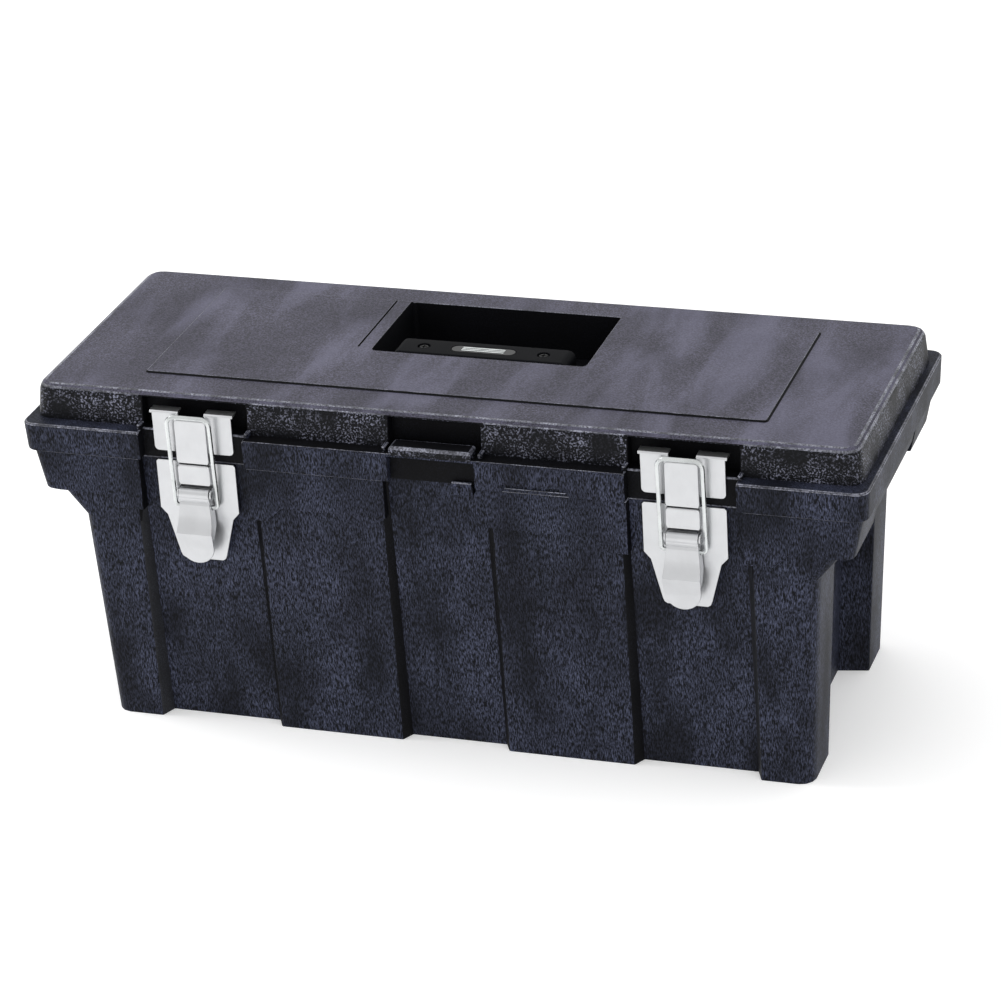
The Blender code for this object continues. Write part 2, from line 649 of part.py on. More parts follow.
class Latch:
    """One draw latch: plates riveted to the base and the lid, a lever, and a wire bail."""

    BASE_RIVETS = (156.0, 178.0)
    STRIKE_RIVETS = (-6.0, 6.0)
    STRIKE_RIVET_Z = 246.0
    FACE_Y = -LATCH_FACE_Y - GAP

    def __init__(self, side, finishes):
        self.x = side * LATCH_X
        self.side = "right" if side > 0 else "left"
        self.steel = finishes["latch"]
        self.wire = finishes["bail"]
        self.pin_steel = finishes["pin"]

    def across(self, half):
        return (self.x - half, self.x + half)

    def shifted(self, outline):
        return [(self.x + x, z) for x, z in outline]

    def channel(self, name, z, finish):
        """A pressed-out channel on a plate: a raised block with a hollow that is open below."""
        front = TONGUE_FRONT_Y
        outline = self.shifted(rounded_rectangle((-TONGUE_HALF, TONGUE_HALF), z, 3.0, 3))
        raised = prism(name, outline, "Y", (front, self.FACE_Y - 0.5), finish)
        x = self.across(TONGUE_HALF - SHEET)
        y = (front + SHEET, self.FACE_Y - SHEET)
        hollow = block(f"{name}_hollow", x, y, (z[0] - 5.0, z[1] - SHEET), finish)
        return raised, hollow

    def base_plate(self):
        y = (self.FACE_Y - SHEET, self.FACE_Y)
        plate = prism(f"{self.side}_base_plate", plate_outline(self.x), "Y", y, self.steel)
        bridge, hollow = self.channel(f"{self.side}_bridge", BRIDGE_Z_SPAN, self.steel)
        join(plate, bridge)
        cut(plate, hollow)
        pivot_z = PIVOT[1]
        ear = [(self.FACE_Y - 0.5, pivot_z - 5.0), (self.FACE_Y - 0.5, pivot_z + 5.0)]
        ear += rounded_corner(PIVOT, 4.0, 90, 270, 8)
        for i, (near, far) in enumerate(((12.5, 13.9), (-13.9, -12.5))):
            wing = prism(f"{plate.name}_ear_{i}", ear, "X", (self.x + near, self.x + far), self.steel)
            join(plate, wing)
        bore = rod(f"{plate.name}_bore", "X", PIVOT, PIVOT_PIN_R + GAP, self.across(20.0), self.steel, 16)
        cut(plate, bore)
        for z in self.BASE_RIVETS:
            name = f"{plate.name}_hole_{z:.0f}"
            cut(plate, rod(name, "Y", (self.x, z), RIVET_HOLE_R, (-127.0, -118.0), self.steel, 12))
        return smooth(plate)

    def strike_plate(self):
        corner_z = 238.1
        outline = [(-PLATE_HALF, EAR_Z), (-PLATE_HALF, corner_z + 0.5)]
        outline += rounded_corner((-28.5, corner_z), 3.5, 190, 270, 3)
        outline += rounded_corner((28.5, corner_z), 3.5, 270, 350, 3)
        outline += [(PLATE_HALF, corner_z + 0.5), (PLATE_HALF, EAR_Z), (EAR_X[0], EAR_Z)]
        outline += [(EAR_X[0], EAR_Z - 6.0), (-EAR_X[0], EAR_Z - 6.0), (-EAR_X[0], EAR_Z)]
        y = (self.FACE_Y - SHEET, self.FACE_Y)
        plate = prism(f"{self.side}_strike_plate", self.shifted(outline), "Y", y, self.steel)
        for i, (near, far) in enumerate(((-EAR_X[1], -EAR_X[0]), EAR_X)):
            fold = [
                (self.FACE_Y - SHEET - 0.6, EAR_Z - 1.4),
                (self.FACE_Y - SHEET - 0.6, EAR_Z - 0.4),
                (self.FACE_Y - SHEET + 0.4, EAR_Z + 0.6),
                (EAR_BACK_Y, EAR_Z + 1.2),
                (EAR_BACK_Y, EAR_Z - 0.3),
                (self.FACE_Y, EAR_Z - 1.2),
            ]
            x = (self.x + near, self.x + far)
            join(plate, prism(f"{plate.name}_fold_{i}", fold, "X", x, self.steel))
        tongue, hollow = self.channel(f"{self.side}_tongue", TONGUE_Z_SPAN, self.steel)
        join(plate, tongue)
        cut(plate, hollow)
        for x in self.STRIKE_RIVETS:
            centre = (self.x + x, self.STRIKE_RIVET_Z)
            name = f"{plate.name}_hole_{x:.0f}"
            cut(plate, rod(name, "Y", centre, RIVET_HOLE_R, (-126.0, -118.0), self.steel, 12))
        return smooth(plate)

    def rivet(self, name, x, z, end_y):
        """A domed rivet, its head on the plate and its shank in the plastic behind."""
        head = self.FACE_Y - SHEET - GAP
        profile = [(0.0, head - 1.7), (1.6, head - 1.5), (2.9, head - 0.9), (3.6, head)]
        profile += [(2.0, head), (2.0, end_y), (0.0, end_y)]
        return smooth(turned(name, profile, (x, 0.0, z), self.pin_steel, 16))

    def rivets(self):
        made = []
        for name, z in zip(("lower", "upper"), self.BASE_RIVETS):
            made.append(self.rivet(f"{self.side}_base_rivet_{name}", self.x, z, -114.0))
        for name, x in zip(("outer", "inner"), self.STRIKE_RIVETS):
            rivet = self.rivet(f"{self.side}_strike_rivet_{name}", self.x + x, self.STRIKE_RIVET_Z, -117.4)
            made.append(rivet)
        return made

    def pivot_pin(self):
        name = f"{self.side}_pivot_pin"
        return smooth(rod(name, "X", PIVOT, PIVOT_PIN_R, self.across(14.2), self.pin_steel, 16))

    def lever_face(self, thickness):
        """The lever's front outline from the side, and how wide it is, with thickness taken off all round."""
        ridge_y, ridge_z = LEVER_RIDGE
        line = [
            (LEVER_FRONT_Y, PIVOT[1]),
            (LEVER_FRONT_Y + 0.2, 199.2),
            (LEVER_FRONT_Y + 1.3, 196.9),
            (LEVER_FRONT_Y + 0.4, 194.6),
            (LEVER_FRONT_Y - 0.6, 187.0),
            (LEVER_FRONT_Y - 2.6, 179.6),
            (ridge_y + 0.8, ridge_z + 2.0),
            (ridge_y, ridge_z),
        ]
        widths = [(LEVER_HALF, 210.0), (LEVER_HALF, 195.0)]
        widths += [(LEVER_WAIST_HALF, 187.0), (LEVER_RIDGE_HALF, ridge_z)]
        return [(y + thickness, z) for y, z in line], [(half - thickness, z) for half, z in widths]

    def lever_solid(self, name, thickness, back_y, low_z):
        """A solid behind the lever's front, as wide as the lever is, down to low_z."""
        line, widths = self.lever_face(thickness)
        ridge_y, ridge_z = LEVER_RIDGE
        side = line + [(ridge_y + 1.2 + thickness, low_z), (ridge_y + 5.0, low_z)]
        side += [(back_y - 1.0, ridge_z + 5.0), (back_y, 188.0), (back_y, PIVOT[1])]
        solid = prism(name, side, "X", self.across(LEVER_RIDGE_HALF + 2.0), self.steel)
        face = [(-half, z) for half, z in widths] + [(-widths[-1][0], low_z - 2.0)]
        face += [(-x, z) for x, z in reversed(face)]
        blank = prism(f"{name}_width", self.shifted(face), "Y", (-150.0, -115.0), self.steel)
        return combine(solid, "INTERSECT", [blank])

    def lever(self):
        """A pressed lever: a rolled top on the pivot, flanges that hold the bail, a ridge and a thumb tab."""
        name = f"{self.side}_lever"
        ridge_y, ridge_z = LEVER_RIDGE
        back = self.FACE_Y - SHEET - 1.2
        lever = self.lever_solid(name, 0.0, back, ridge_z - 5.0)
        cut(lever, self.lever_solid(f"{name}_hollow", SHEET, back + 4.0, ridge_z - 8.0))
        front = [(ridge_y, ridge_z + 0.2), (ridge_y + 1.0, ridge_z - 3.0), (ridge_y + 3.4, 160.0)]
        front += [(ridge_y + 4.2, THUMB_END_Z)]
        strip = front + [(y + SHEET, z) for y, z in reversed(front)]
        tab = prism(f"{name}_tab", strip, "X", self.across(THUMB_R + 3.0), self.steel)
        outline = [(-LEVER_RIDGE_HALF, ridge_z + 1.0), (-LEVER_RIDGE_HALF, ridge_z - 2.0)]
        outline += rounded_corner((0.0, THUMB_END_Z + THUMB_R), THUMB_R, 180, 360, 12)
        outline += [(LEVER_RIDGE_HALF, ridge_z - 2.0), (LEVER_RIDGE_HALF, ridge_z + 1.0)]
        blank = prism(f"{name}_tab_outline", self.shifted(outline), "Y", (-151.0, -114.0), self.steel)
        combine(tab, "INTERSECT", [blank])
        join(lever, tab, rod(f"{name}_roll", "X", PIVOT, ROLL_R, self.across(LEVER_HALF - 0.1), self.steel))
        cut(
            lever,
            rod(f"{name}_bore", "X", PIVOT, PIVOT_PIN_R + GAP, self.across(20.0), self.steel, 16),
            rod(f"{name}_bail_bore", "X", BAIL_PIVOT, WIRE_R + 0.35, self.across(20.0), self.steel, 16),
        )
        smooth(lever)
        return move_origin(lever, (self.x, *PIVOT))

    def bail(self):
        """One bent wire: hooked into the lever at both ends, and squared across the top."""
        low_y, low_z = BAIL_PIVOT
        length = math.hypot(BAIL_TOP[0] - low_y, BAIL_TOP[1] - low_z)
        half = [(9.4, 0.0)] + rounded_corner((BAIL_X - 3.0, 3.0), 3.0, -90, 0, 4)
        half += rounded_corner((BAIL_X - 6.5, length - 6.5), 6.5, 0, 90, 6)
        lean = Vector((0.0, BAIL_TOP[0] - low_y, BAIL_TOP[1] - low_z)).normalized()
        route = half + [(-x, along) for x, along in reversed(half)]
        curve = bpy.data.curves.new(f"{self.side}_bail", "CURVE")
        curve.dimensions = "3D"
        curve.bevel_depth = WIRE_R * MM
        curve.bevel_resolution = 2
        curve.use_fill_caps = True
        line = curve.splines.new("POLY")
        line.points.add(len(route) - 1)
        for point, (x, along) in zip(line.points, route):
            point.co = (*((Vector((x, 0.0, 0.0)) + lean * along) * MM), 1.0)
        curve.materials.append(self.wire)
        made = bpy.data.objects.new(curve.name, curve)
        made.location = Vector((self.x, low_y, low_z)) * MM
        bpy.context.scene.collection.objects.link(made)
        return made

    def build(self):
        base_pieces = [self.base_plate(), self.pivot_pin()]
        rivets = self.rivets()
        lever = self.lever()
        bail = self.bail()
        return base_pieces + rivets[:2], [self.strike_plate()] + rivets[2:], lever, bail


class Tray:
    """The lift-out tray: a row of four bins, a long bin with two loose dividers, and a handle between."""

    def __init__(self, finishes):
        self.plastic = finishes["tray"]
        self.divider_plastic = finishes["divider"]

    def bins(self):
        """Cutters for the bins, with a corner radius."""
        low, high = TRAY_Z[0] + TRAY_WALL, TRAY_Z[1] + 1.0
        inner_x, inner_y = TRAY_BOTTOM[0] - TRAY_WALL, TRAY_BOTTOM[1] - TRAY_WALL
        grow_x = (TRAY_TOP[0] - TRAY_BOTTOM[0]) * (high - low) / (TRAY_Z[1] - TRAY_Z[0])
        pitch = 2 * inner_x / 4
        made = []
        for i in range(4):
            left = -inner_x + i * pitch + (0.0 if i == 0 else TRAY_WALL / 2)
            right = -inner_x + (i + 1) * pitch - (0.0 if i == 3 else TRAY_WALL / 2)
            spread = (grow_x if i == 0 else 0.0, grow_x if i == 3 else 0.0)
            bottom = rounded_rectangle((left, right), (-inner_y, -7.5), 6.0, 3)
            top = rounded_rectangle((left - spread[0], right + spread[1]), (-inner_y - grow_x, -7.5), 6.0, 3)
            made.append(levels(f"small_bin_{i}", [(low, bottom), (high, top)], self.plastic))
        bottom = rounded_rectangle((-inner_x, inner_x), (7.5, inner_y), 6.0, 3)
        top = rounded_rectangle((-inner_x - grow_x, inner_x + grow_x), (7.5, inner_y + grow_x), 6.0, 3)
        made.append(levels("long_bin", [(low, bottom), (high, top)], self.plastic))
        return made

    def guides(self, side):
        """Two pairs of ribs, front and back, that hold one loose divider upright."""
        made = []
        for offset in (-2.4, 2.4):
            x = (side * DIVIDER_X + offset - 0.8, side * DIVIDER_X + offset + 0.8)
            z = (TRAY_Z[0] + 1.0, TRAY_Z[1] - 8.0)
            made.append(block(f"guide_front_{side}_{offset:.0f}", x, (6.0, 10.5), z, self.plastic))
            made.append(block(f"guide_back_{side}_{offset:.0f}", x, (92.5, 100.0), z, self.plastic))
        return made

    def body(self):
        z_low, z_high = TRAY_Z
        rectangles = [rounded_rectangle((-x, x), (-y, y), 9.0) for x, y in (TRAY_BOTTOM, TRAY_TOP)]
        tray = levels("tray", [(z_low, rectangles[0]), (z_high, rectangles[1])], self.plastic)
        x, y = TRAY_RIM
        rim = rounded_rectangle((-x, x), (-y, y), 11.0)
        join(tray, prism("tray_rim", rim, "Z", (z_high - 3.0, z_high), self.plastic))
        cut(tray, *self.bins())
        for side in (-1, 1):
            join(tray, *self.guides(side))
        under = block("spine_hollow", (-236.0, 236.0), (-5.0, 5.0), (z_low - 1.0, z_high - 14.0), self.plastic)
        cut(tray, under)
        outline = [(-66.0, z_high - 4.0), (66.0, z_high - 4.0)]
        shoulder = rounded_corner((56.0, TRAY_HANDLE_Z - 6.0), 6.0, 0, 90, 4)
        outline += shoulder + [(-x, z) for x, z in reversed(shoulder)]
        join(tray, prism("tray_handle", outline, "Y", (-7.5, 7.5), self.plastic))
        slot = rounded_rectangle((-46.0, 46.0), (187.0, 205.0), 8.0)
        cut(tray, prism("tray_handle_slot", slot, "Y", (-12.0, 12.0), self.plastic))
        return smooth(tray)

    def divider(self, side):
        """A loose plate across the long bin, with a finger dip in its top edge."""
        low = TRAY_Z[0] + TRAY_WALL + GAP
        dip = [(38.0, 196.0)] + rounded_corner((51.5, 196.0), 9.0, 180, 360, 6) + [(65.0, 196.0)]
        outline = [(7.9, low), (94.0, low), (96.5, 188.0), (96.5, 196.0)] + dip[::-1] + [(7.9, 196.0)]
        x = (side * DIVIDER_X - 1.0, side * DIVIDER_X + 1.0)
        name = f"tray_divider_{'right' if side > 0 else 'left'}"
        return prism(name, outline, "X", x, self.divider_plastic)

    def build(self):
        return [self.body(), self.divider(-1), self.divider(1)]


def build():
    clear_scene()
    finishes = {
        "plastic": material("black_structural_foam", 0x25262C, 0.55),
        "grip": material("black_smooth_plastic", 0x131418, 0.35),
        "tray": material("grey_tray_plastic", 0x3A3D44, 0.5),
        "divider": material("grey_divider_plastic", 0x6B7078, 0.5),
        "latch": material("nickel_plated_steel", 0xD6D8DA, 0.28, 1.0),
        "bail": material("nickel_plated_wire", 0xDDDFE1, 0.2, 1.0),
        "pin": material("zinc_plated_steel", 0xA9ACAF, 0.35, 1.0),
        "screw": material("blackened_steel", 0x2C2D30, 0.4, 1.0),
        "badge": material("brushed_aluminium", 0xC2C6C4, 0.3, 1.0),
    }
    lid_axis = axis_empty("lid_axis", (0.0, HINGE_Y, HINGE_Z))
    tray_axis = axis_empty("tray_lift", (0.0, 0.0, SHELF_Z))
    Base(finishes).build()
    lid_pieces = Lid(finishes).build()
    for side in (-1, 1):
        _, on_lid, lever, bail = Latch(side, finishes).build()
        lid_pieces += on_lid
        attach(bail, lever)
    for piece in lid_pieces:
        attach(piece, lid_axis)
    for piece in Tray(finishes).build():
        attach(piece, tray_axis)


build()
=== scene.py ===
"""Looks of a black structural-foam toolbox with two nickel-plated draw latches.

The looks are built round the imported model. The frame is in metres: X runs along the box, Y from the front to
the back and Z up. Sizes and places are in millimetres here, unless the docstring beside them says metres.
"""

import logging
import math
from collections.abc import Callable, Sequence
from dataclasses import dataclass, field
from enum import Enum

import bmesh
import bpy
from mathutils import Matrix, Vector

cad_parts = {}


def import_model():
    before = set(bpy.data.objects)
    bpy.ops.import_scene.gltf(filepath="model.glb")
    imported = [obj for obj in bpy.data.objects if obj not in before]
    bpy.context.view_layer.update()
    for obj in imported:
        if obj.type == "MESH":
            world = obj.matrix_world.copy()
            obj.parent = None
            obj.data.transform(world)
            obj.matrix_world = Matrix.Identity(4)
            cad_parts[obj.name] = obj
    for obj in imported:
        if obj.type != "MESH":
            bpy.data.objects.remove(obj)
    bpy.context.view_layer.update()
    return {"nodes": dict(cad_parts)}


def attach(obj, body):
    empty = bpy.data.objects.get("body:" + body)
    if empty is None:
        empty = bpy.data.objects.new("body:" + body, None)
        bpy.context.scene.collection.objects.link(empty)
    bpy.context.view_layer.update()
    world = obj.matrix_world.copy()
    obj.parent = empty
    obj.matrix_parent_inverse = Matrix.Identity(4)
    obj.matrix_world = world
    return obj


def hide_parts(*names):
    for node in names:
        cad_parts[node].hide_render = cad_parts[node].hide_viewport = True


LOG = logging.getLogger("toolbox")
# A millimetre, in metres.
MM = 0.001

Millimetres = tuple[float, float, float]
Metres = tuple[float, float, float]
Scale = tuple[float, float, float]
Where = Callable[[Vector, Vector], bool]


def anywhere(point: Vector) -> bool:
    """Accepts every place."""
    return True


# Materials


def linear(colour: str) -> tuple[float, float, float, float]:
    """Turns an sRGB hex colour into linear light.

    Args:
        colour: Six hex digits after a hash, such as "#1B1C22".

    Returns:
        Red, green and blue in linear light, and an alpha of 1.
    """
    parts = [int(colour[start : start + 2], 16) / 255 for start in (1, 3, 5)]
    turned = [part / 12.92 if part <= 0.04045 else ((part + 0.055) / 1.055) ** 2.4 for part in parts]
    return (turned[0], turned[1], turned[2], 1.0)


def add_node(
    tree: bpy.types.NodeTree, kind: str, inputs: dict | None = None, **settings: object
) -> bpy.types.Node:
    """Adds one node, sets it and links what feeds it.

    Args:
        tree: The node tree that it joins.
        kind: Blender's name for the type of node.
        inputs: For each input, by name or number, the socket that feeds it or its own value.
        **settings: Properties of the node itself.

    Returns:
        The new node.
    """
    node = tree.nodes.new(kind)
    for name, value in settings.items():
        setattr(node, name, value)
    for name, value in (inputs or {}).items():
        if isinstance(value, bpy.types.NodeSocket):
            tree.links.new(value, node.inputs[name])
        else:
            node.inputs[name].default_value = value
    return node


def per_metre(size_mm: float) -> float:
    """The noise scale whose features are size_mm across, on coordinates in metres."""
    return 1.0 / (size_mm * MM)


@dataclass(frozen=True)
class Finish:
    """What each finish has: its name and the typical values of its material.

    Attributes:
        name: The material's name.
        base: Its main colour.
        roughness: Its roughness, about which its patterns vary.
        ior: Its index of refraction.
        metallic: 1 for a metal.
        specular: How much of the usual gloss shows, with 0.5 for all of it.
    """

    name: str
    base: str
    roughness: float
    ior: float = 1.5
    metallic: float = 0.0
    specular: float = 0.5

    def start(self) -> tuple[bpy.types.Material, bpy.types.NodeTree, bpy.types.Node, bpy.types.NodeSocket]:
        """Makes the material with its uniform values set on the shader's own sockets.

        Returns:
            The material, its node tree, its shader and the Object coordinates.
        """
        material = bpy.data.materials.new(self.name)
        material.use_nodes = True
        tree = material.node_tree
        shader = tree.nodes["Principled BSDF"]
        shader.inputs["Base Color"].default_value = linear(self.base)
        shader.inputs["Roughness"].default_value = self.roughness
        shader.inputs["Metallic"].default_value = self.metallic
        shader.inputs["IOR"].default_value = self.ior
        shader.inputs["Specular IOR Level"].default_value = self.specular
        place = add_node(tree, "ShaderNodeTexCoord").outputs["Object"]
        return material, tree, shader, place


@dataclass(frozen=True)
class StructuralFoam(Finish):
    """Black structural foam, moulded at low pressure.

    The mould's grain catches the light as fine pale grains on a near-black skin, thicker in some patches than
    in others, and walls that slid out of the mould drag the grains into upright lines. Gas in the melt leaves
    soft pale flow streaks. The real grain is taken as 0.3 mm, and it is drawn coarser so that it shows from a
    few metres away.

    Attributes:
        bloom: The colour of the pale grains.
        grain_mm: How wide a grain is.
        grain_depth_mm: How deep the grain is.
        grain_range: The heights in the grain where the pale colour starts and is full.
        grain_stretch: The grain's scale along each axis. Below 1 the grains are longer.
        lean_degrees: How far the grain leans about Y.
        patch_mm: How wide the patches of thicker grain are.
        patch_stretch: The patches' scale along each axis.
        patch_range: The patch values where the grain starts to thicken and is thickest.
        least_grain: The share of the grains that show where they are thinnest.
        streak: The colour of the flow streaks.
        streak_mm: How wide the streaks are.
        streak_stretch: The streaks' scale along each axis.
        streak_range: The streak values where their colour starts and is full.
        streak_turn_degrees: How far the streaks turn about Z.
        streak_share: How much of their colour the streaks show. None are made at 0.
        gloss_change: How far the roughness moves between the patches.
    """

    bloom: str = "#4B4D5A"
    grain_mm: float = 1.1
    grain_depth_mm: float = 0.12
    grain_range: tuple[float, float] = (0.46, 0.68)
    grain_stretch: Scale = (1.0, 1.0, 1.0)
    lean_degrees: float = 0.0
    patch_mm: float = 40.0
    patch_stretch: Scale = (1.0, 1.0, 1.0)
    patch_range: tuple[float, float] = (0.36, 0.62)
    least_grain: float = 0.25
    streak: str = "#4A4956"
    streak_mm: float = 34.0
    streak_stretch: Scale = (1.0, 0.16, 1.0)
    streak_range: tuple[float, float] = (0.40, 0.72)
    streak_turn_degrees: float = -20.0
    streak_share: float = 0.0
    gloss_change: float = 0.08

    def build(self) -> bpy.types.Material:
        """Makes the material.

        Returns:
            The finished material.
        """
        material, tree, shader, place = self.start()
        lean = (0.0, math.radians(self.lean_degrees), 0.0)
        along = add_node(
            tree, "ShaderNodeMapping", {"Vector": place, "Rotation": lean, "Scale": self.grain_stretch}
        ).outputs["Vector"]
        tooth = add_node(
            tree,
            "ShaderNodeTexNoise",
            {"Vector": along, "Scale": per_metre(self.grain_mm), "Detail": 2.0, "Roughness": 0.6},
        ).outputs["Fac"]
        low, high = self.grain_range
        grains = add_node(
            tree, "ShaderNodeMapRange", {"Value": tooth, "From Min": low, "From Max": high}
        ).outputs["Result"]
        broad = add_node(
            tree, "ShaderNodeMapping", {"Vector": place, "Scale": self.patch_stretch}
        ).outputs["Vector"]
        patches = add_node(
            tree, "ShaderNodeTexNoise", {"Vector": broad, "Scale": per_metre(self.patch_mm), "Detail": 3.0}
        ).outputs["Fac"]
        bare, full = self.patch_range
        cover = add_node(
            tree,
            "ShaderNodeMapRange",
            {"Value": patches, "From Min": bare, "From Max": full, "To Min": self.least_grain},
        ).outputs["Result"]
        pale = add_node(tree, "ShaderNodeMath", {0: grains, 1: cover}, operation="MULTIPLY").outputs["Value"]
        colour = add_node(
            tree, "ShaderNodeMix", {0: pale, 6: linear(self.base), 7: linear(self.bloom)}, data_type="RGBA"
        ).outputs[2]
        if self.streak_share:
            turn = (0.0, 0.0, math.radians(self.streak_turn_degrees))
            flow = add_node(
                tree, "ShaderNodeMapping", {"Vector": place, "Rotation": turn, "Scale": self.streak_stretch}
            ).outputs["Vector"]
            swirl = {"Detail": 3.0, "Roughness": 0.5, "Distortion": 0.5}
            melt = add_node(
                tree, "ShaderNodeTexNoise", {"Vector": flow, "Scale": per_metre(self.streak_mm), **swirl}
            ).outputs["Fac"]
            faint, strong = self.streak_range
            streaks = add_node(
                tree,
                "ShaderNodeMapRange",
                {"Value": melt, "From Min": faint, "From Max": strong, "To Max": self.streak_share},
                interpolation_type="SMOOTHSTEP",
            ).outputs["Result"]
            colour = add_node(
                tree, "ShaderNodeMix", {0: streaks, 6: colour, 7: linear(self.streak)}, data_type="RGBA"
            ).outputs[2]
        tree.links.new(colour, shader.inputs["Base Color"])
        duller, shinier = self.roughness + self.gloss_change, self.roughness - self.gloss_change
        gloss = add_node(
            tree, "ShaderNodeMapRange", {"Value": patches, "To Min": duller, "To Max": shinier}
        ).outputs["Result"]
        tree.links.new(gloss, shader.inputs["Roughness"])
        relief = add_node(
            tree, "ShaderNodeBump", {"Height": tooth, "Distance": self.grain_depth_mm * MM}
        ).outputs["Normal"]
        tree.links.new(relief, shader.inputs["Normal"])
        return material


@dataclass(frozen=True)
class SmoothPlastic(Finish):
    """Injection-moulded polypropylene or baked enamel: an even skin with a very fine tooth.

    The real tooth is too fine to show, and it is drawn coarser.

    Attributes:
        fleck: The colour of its soft clouds.
        cloud_mm: How wide the clouds are.
        grain_mm: How wide the tooth is.
        grain_depth_mm: How deep the tooth is.
        shine_gain: How far the roughness drops in the shiniest clouds.
        shine_loss: How far it rises in the dullest clouds.
    """

    fleck: str = "#1C1D22"
    cloud_mm: float = 35.0
    grain_mm: float = 0.7
    grain_depth_mm: float = 0.03
    shine_gain: float = 0.05
    shine_loss: float = 0.06

    def build(self) -> bpy.types.Material:
        """Makes the material.

        Returns:
            The finished material.
        """
        material, tree, shader, place = self.start()
        clouds = add_node(
            tree, "ShaderNodeTexNoise", {"Vector": place, "Scale": per_metre(self.cloud_mm), "Detail": 3.0}
        ).outputs["Fac"]
        tooth = add_node(
            tree, "ShaderNodeTexNoise", {"Vector": place, "Scale": per_metre(self.grain_mm), "Detail": 2.0}
        ).outputs["Fac"]
        colour = add_node(
            tree, "ShaderNodeMix", {0: clouds, 6: linear(self.base), 7: linear(self.fleck)}, data_type="RGBA"
        ).outputs[2]
        tree.links.new(colour, shader.inputs["Base Color"])
        shinier, duller = self.roughness - self.shine_gain, self.roughness + self.shine_loss
        gloss = add_node(
            tree, "ShaderNodeMapRange", {"Value": clouds, "To Min": shinier, "To Max": duller}
        ).outputs["Result"]
        tree.links.new(gloss, shader.inputs["Roughness"])
        relief = add_node(
            tree, "ShaderNodeBump", {"Height": tooth, "Distance": self.grain_depth_mm * MM}
        ).outputs["Normal"]
        tree.links.new(relief, shader.inputs["Normal"])
        return material


@dataclass(frozen=True)
class WorkedMetal(Finish):
    """Metal that was rolled, drawn, turned or rubbed, which leaves faint lines, and that dulls in soft clouds.

    The real lines are too fine to show, and they are drawn wider.

    Attributes:
        dull: The colour of the duller clouds.
        line_mm: How wide a line is.
        stretch: The lines' scale along each axis. Below 1 the lines are longer.
        line_depth_mm: How deep the lines are.
        line_range: The line values where the shine starts to change and stops.
        cloud_mm: How wide the clouds are.
        cloud_range: The cloud values where the dull colour starts and is full.
        shine_gain: How far the roughness drops along the brightest lines.
        shine_loss: How far it rises along the dullest lines.
    """

    metallic: float = 1.0
    dull: str = "#B9BBBD"
    line_mm: float = 0.5
    stretch: Scale = (1.0, 1.0, 0.05)
    line_depth_mm: float = 0.004
    line_range: tuple[float, float] = (0.3, 0.7)
    cloud_mm: float = 18.0
    cloud_range: tuple[float, float] = (0.42, 0.75)
    shine_gain: float = 0.05
    shine_loss: float = 0.07

    def build(self) -> bpy.types.Material:
        """Makes the material.

        Returns:
            The finished material.
        """
        material, tree, shader, place = self.start()
        clouds = add_node(
            tree,
            "ShaderNodeTexNoise",
            {"Vector": place, "Scale": per_metre(self.cloud_mm), "Detail": 4.0, "Roughness": 0.6},
        ).outputs["Fac"]
        bright, dulled = self.cloud_range
        patches = add_node(
            tree, "ShaderNodeMapRange", {"Value": clouds, "From Min": bright, "From Max": dulled}
        ).outputs["Result"]
        colour = add_node(
            tree, "ShaderNodeMix", {0: patches, 6: linear(self.base), 7: linear(self.dull)}, data_type="RGBA"
        ).outputs[2]
        tree.links.new(colour, shader.inputs["Base Color"])
        rolled = add_node(
            tree, "ShaderNodeMapping", {"Vector": place, "Scale": self.stretch}
        ).outputs["Vector"]
        lines = add_node(
            tree, "ShaderNodeTexNoise", {"Vector": rolled, "Scale": per_metre(self.line_mm), "Detail": 3.0}
        ).outputs["Fac"]
        low, high = self.line_range
        shinier, duller = self.roughness - self.shine_gain, self.roughness + self.shine_loss
        gloss = add_node(
            tree,
            "ShaderNodeMapRange",
            {"Value": lines, "From Min": low, "From Max": high, "To Min": shinier, "To Max": duller},
        ).outputs["Result"]
        tree.links.new(gloss, shader.inputs["Roughness"])
        relief = add_node(
            tree, "ShaderNodeBump", {"Height": lines, "Distance": self.line_depth_mm * MM}
        ).outputs["Normal"]
        tree.links.new(relief, shader.inputs["Normal"])
        return material


@dataclass(frozen=True)
class PaintedFloor(Finish):
    """Matt white studio floor, with the faint clouds of rolled paint.

    It glows a little though it is no lamp, painted light that softens the shadow round the box.

    Attributes:
        cloud: The colour of the clouds.
        cloud_mm: How wide the clouds are.
        glow: How strongly it glows.
    """

    cloud: str = "#F6F6F6"
    cloud_mm: float = 400.0
    glow: float = 0.20

    def build(self) -> bpy.types.Material:
        """Makes the material.

        Returns:
            The finished material.
        """
        material, tree, shader, place = self.start()
        clouds = add_node(
            tree, "ShaderNodeTexNoise", {"Vector": place, "Scale": per_metre(self.cloud_mm), "Detail": 2.0}
        ).outputs["Fac"]
        colour = add_node(
            tree, "ShaderNodeMix", {0: clouds, 6: linear(self.base), 7: linear(self.cloud)}, data_type="RGBA"
        ).outputs[2]
        tree.links.new(colour, shader.inputs["Base Color"])
        shader.inputs["Emission Color"].default_value = linear("#FFFFFF")
        shader.inputs["Emission Strength"].default_value = self.glow
        return material


# Modelling


@dataclass(frozen=True)
class EdgeRound:
    """A radius for the moulded or pressed edges whose middle lies in a region.

    Attributes:
        width_mm: How wide the rounding is.
        chosen: Whether an edge's middle, in millimetres, is in the region.
    """

    width_mm: float
    chosen: Callable[[Vector], bool]


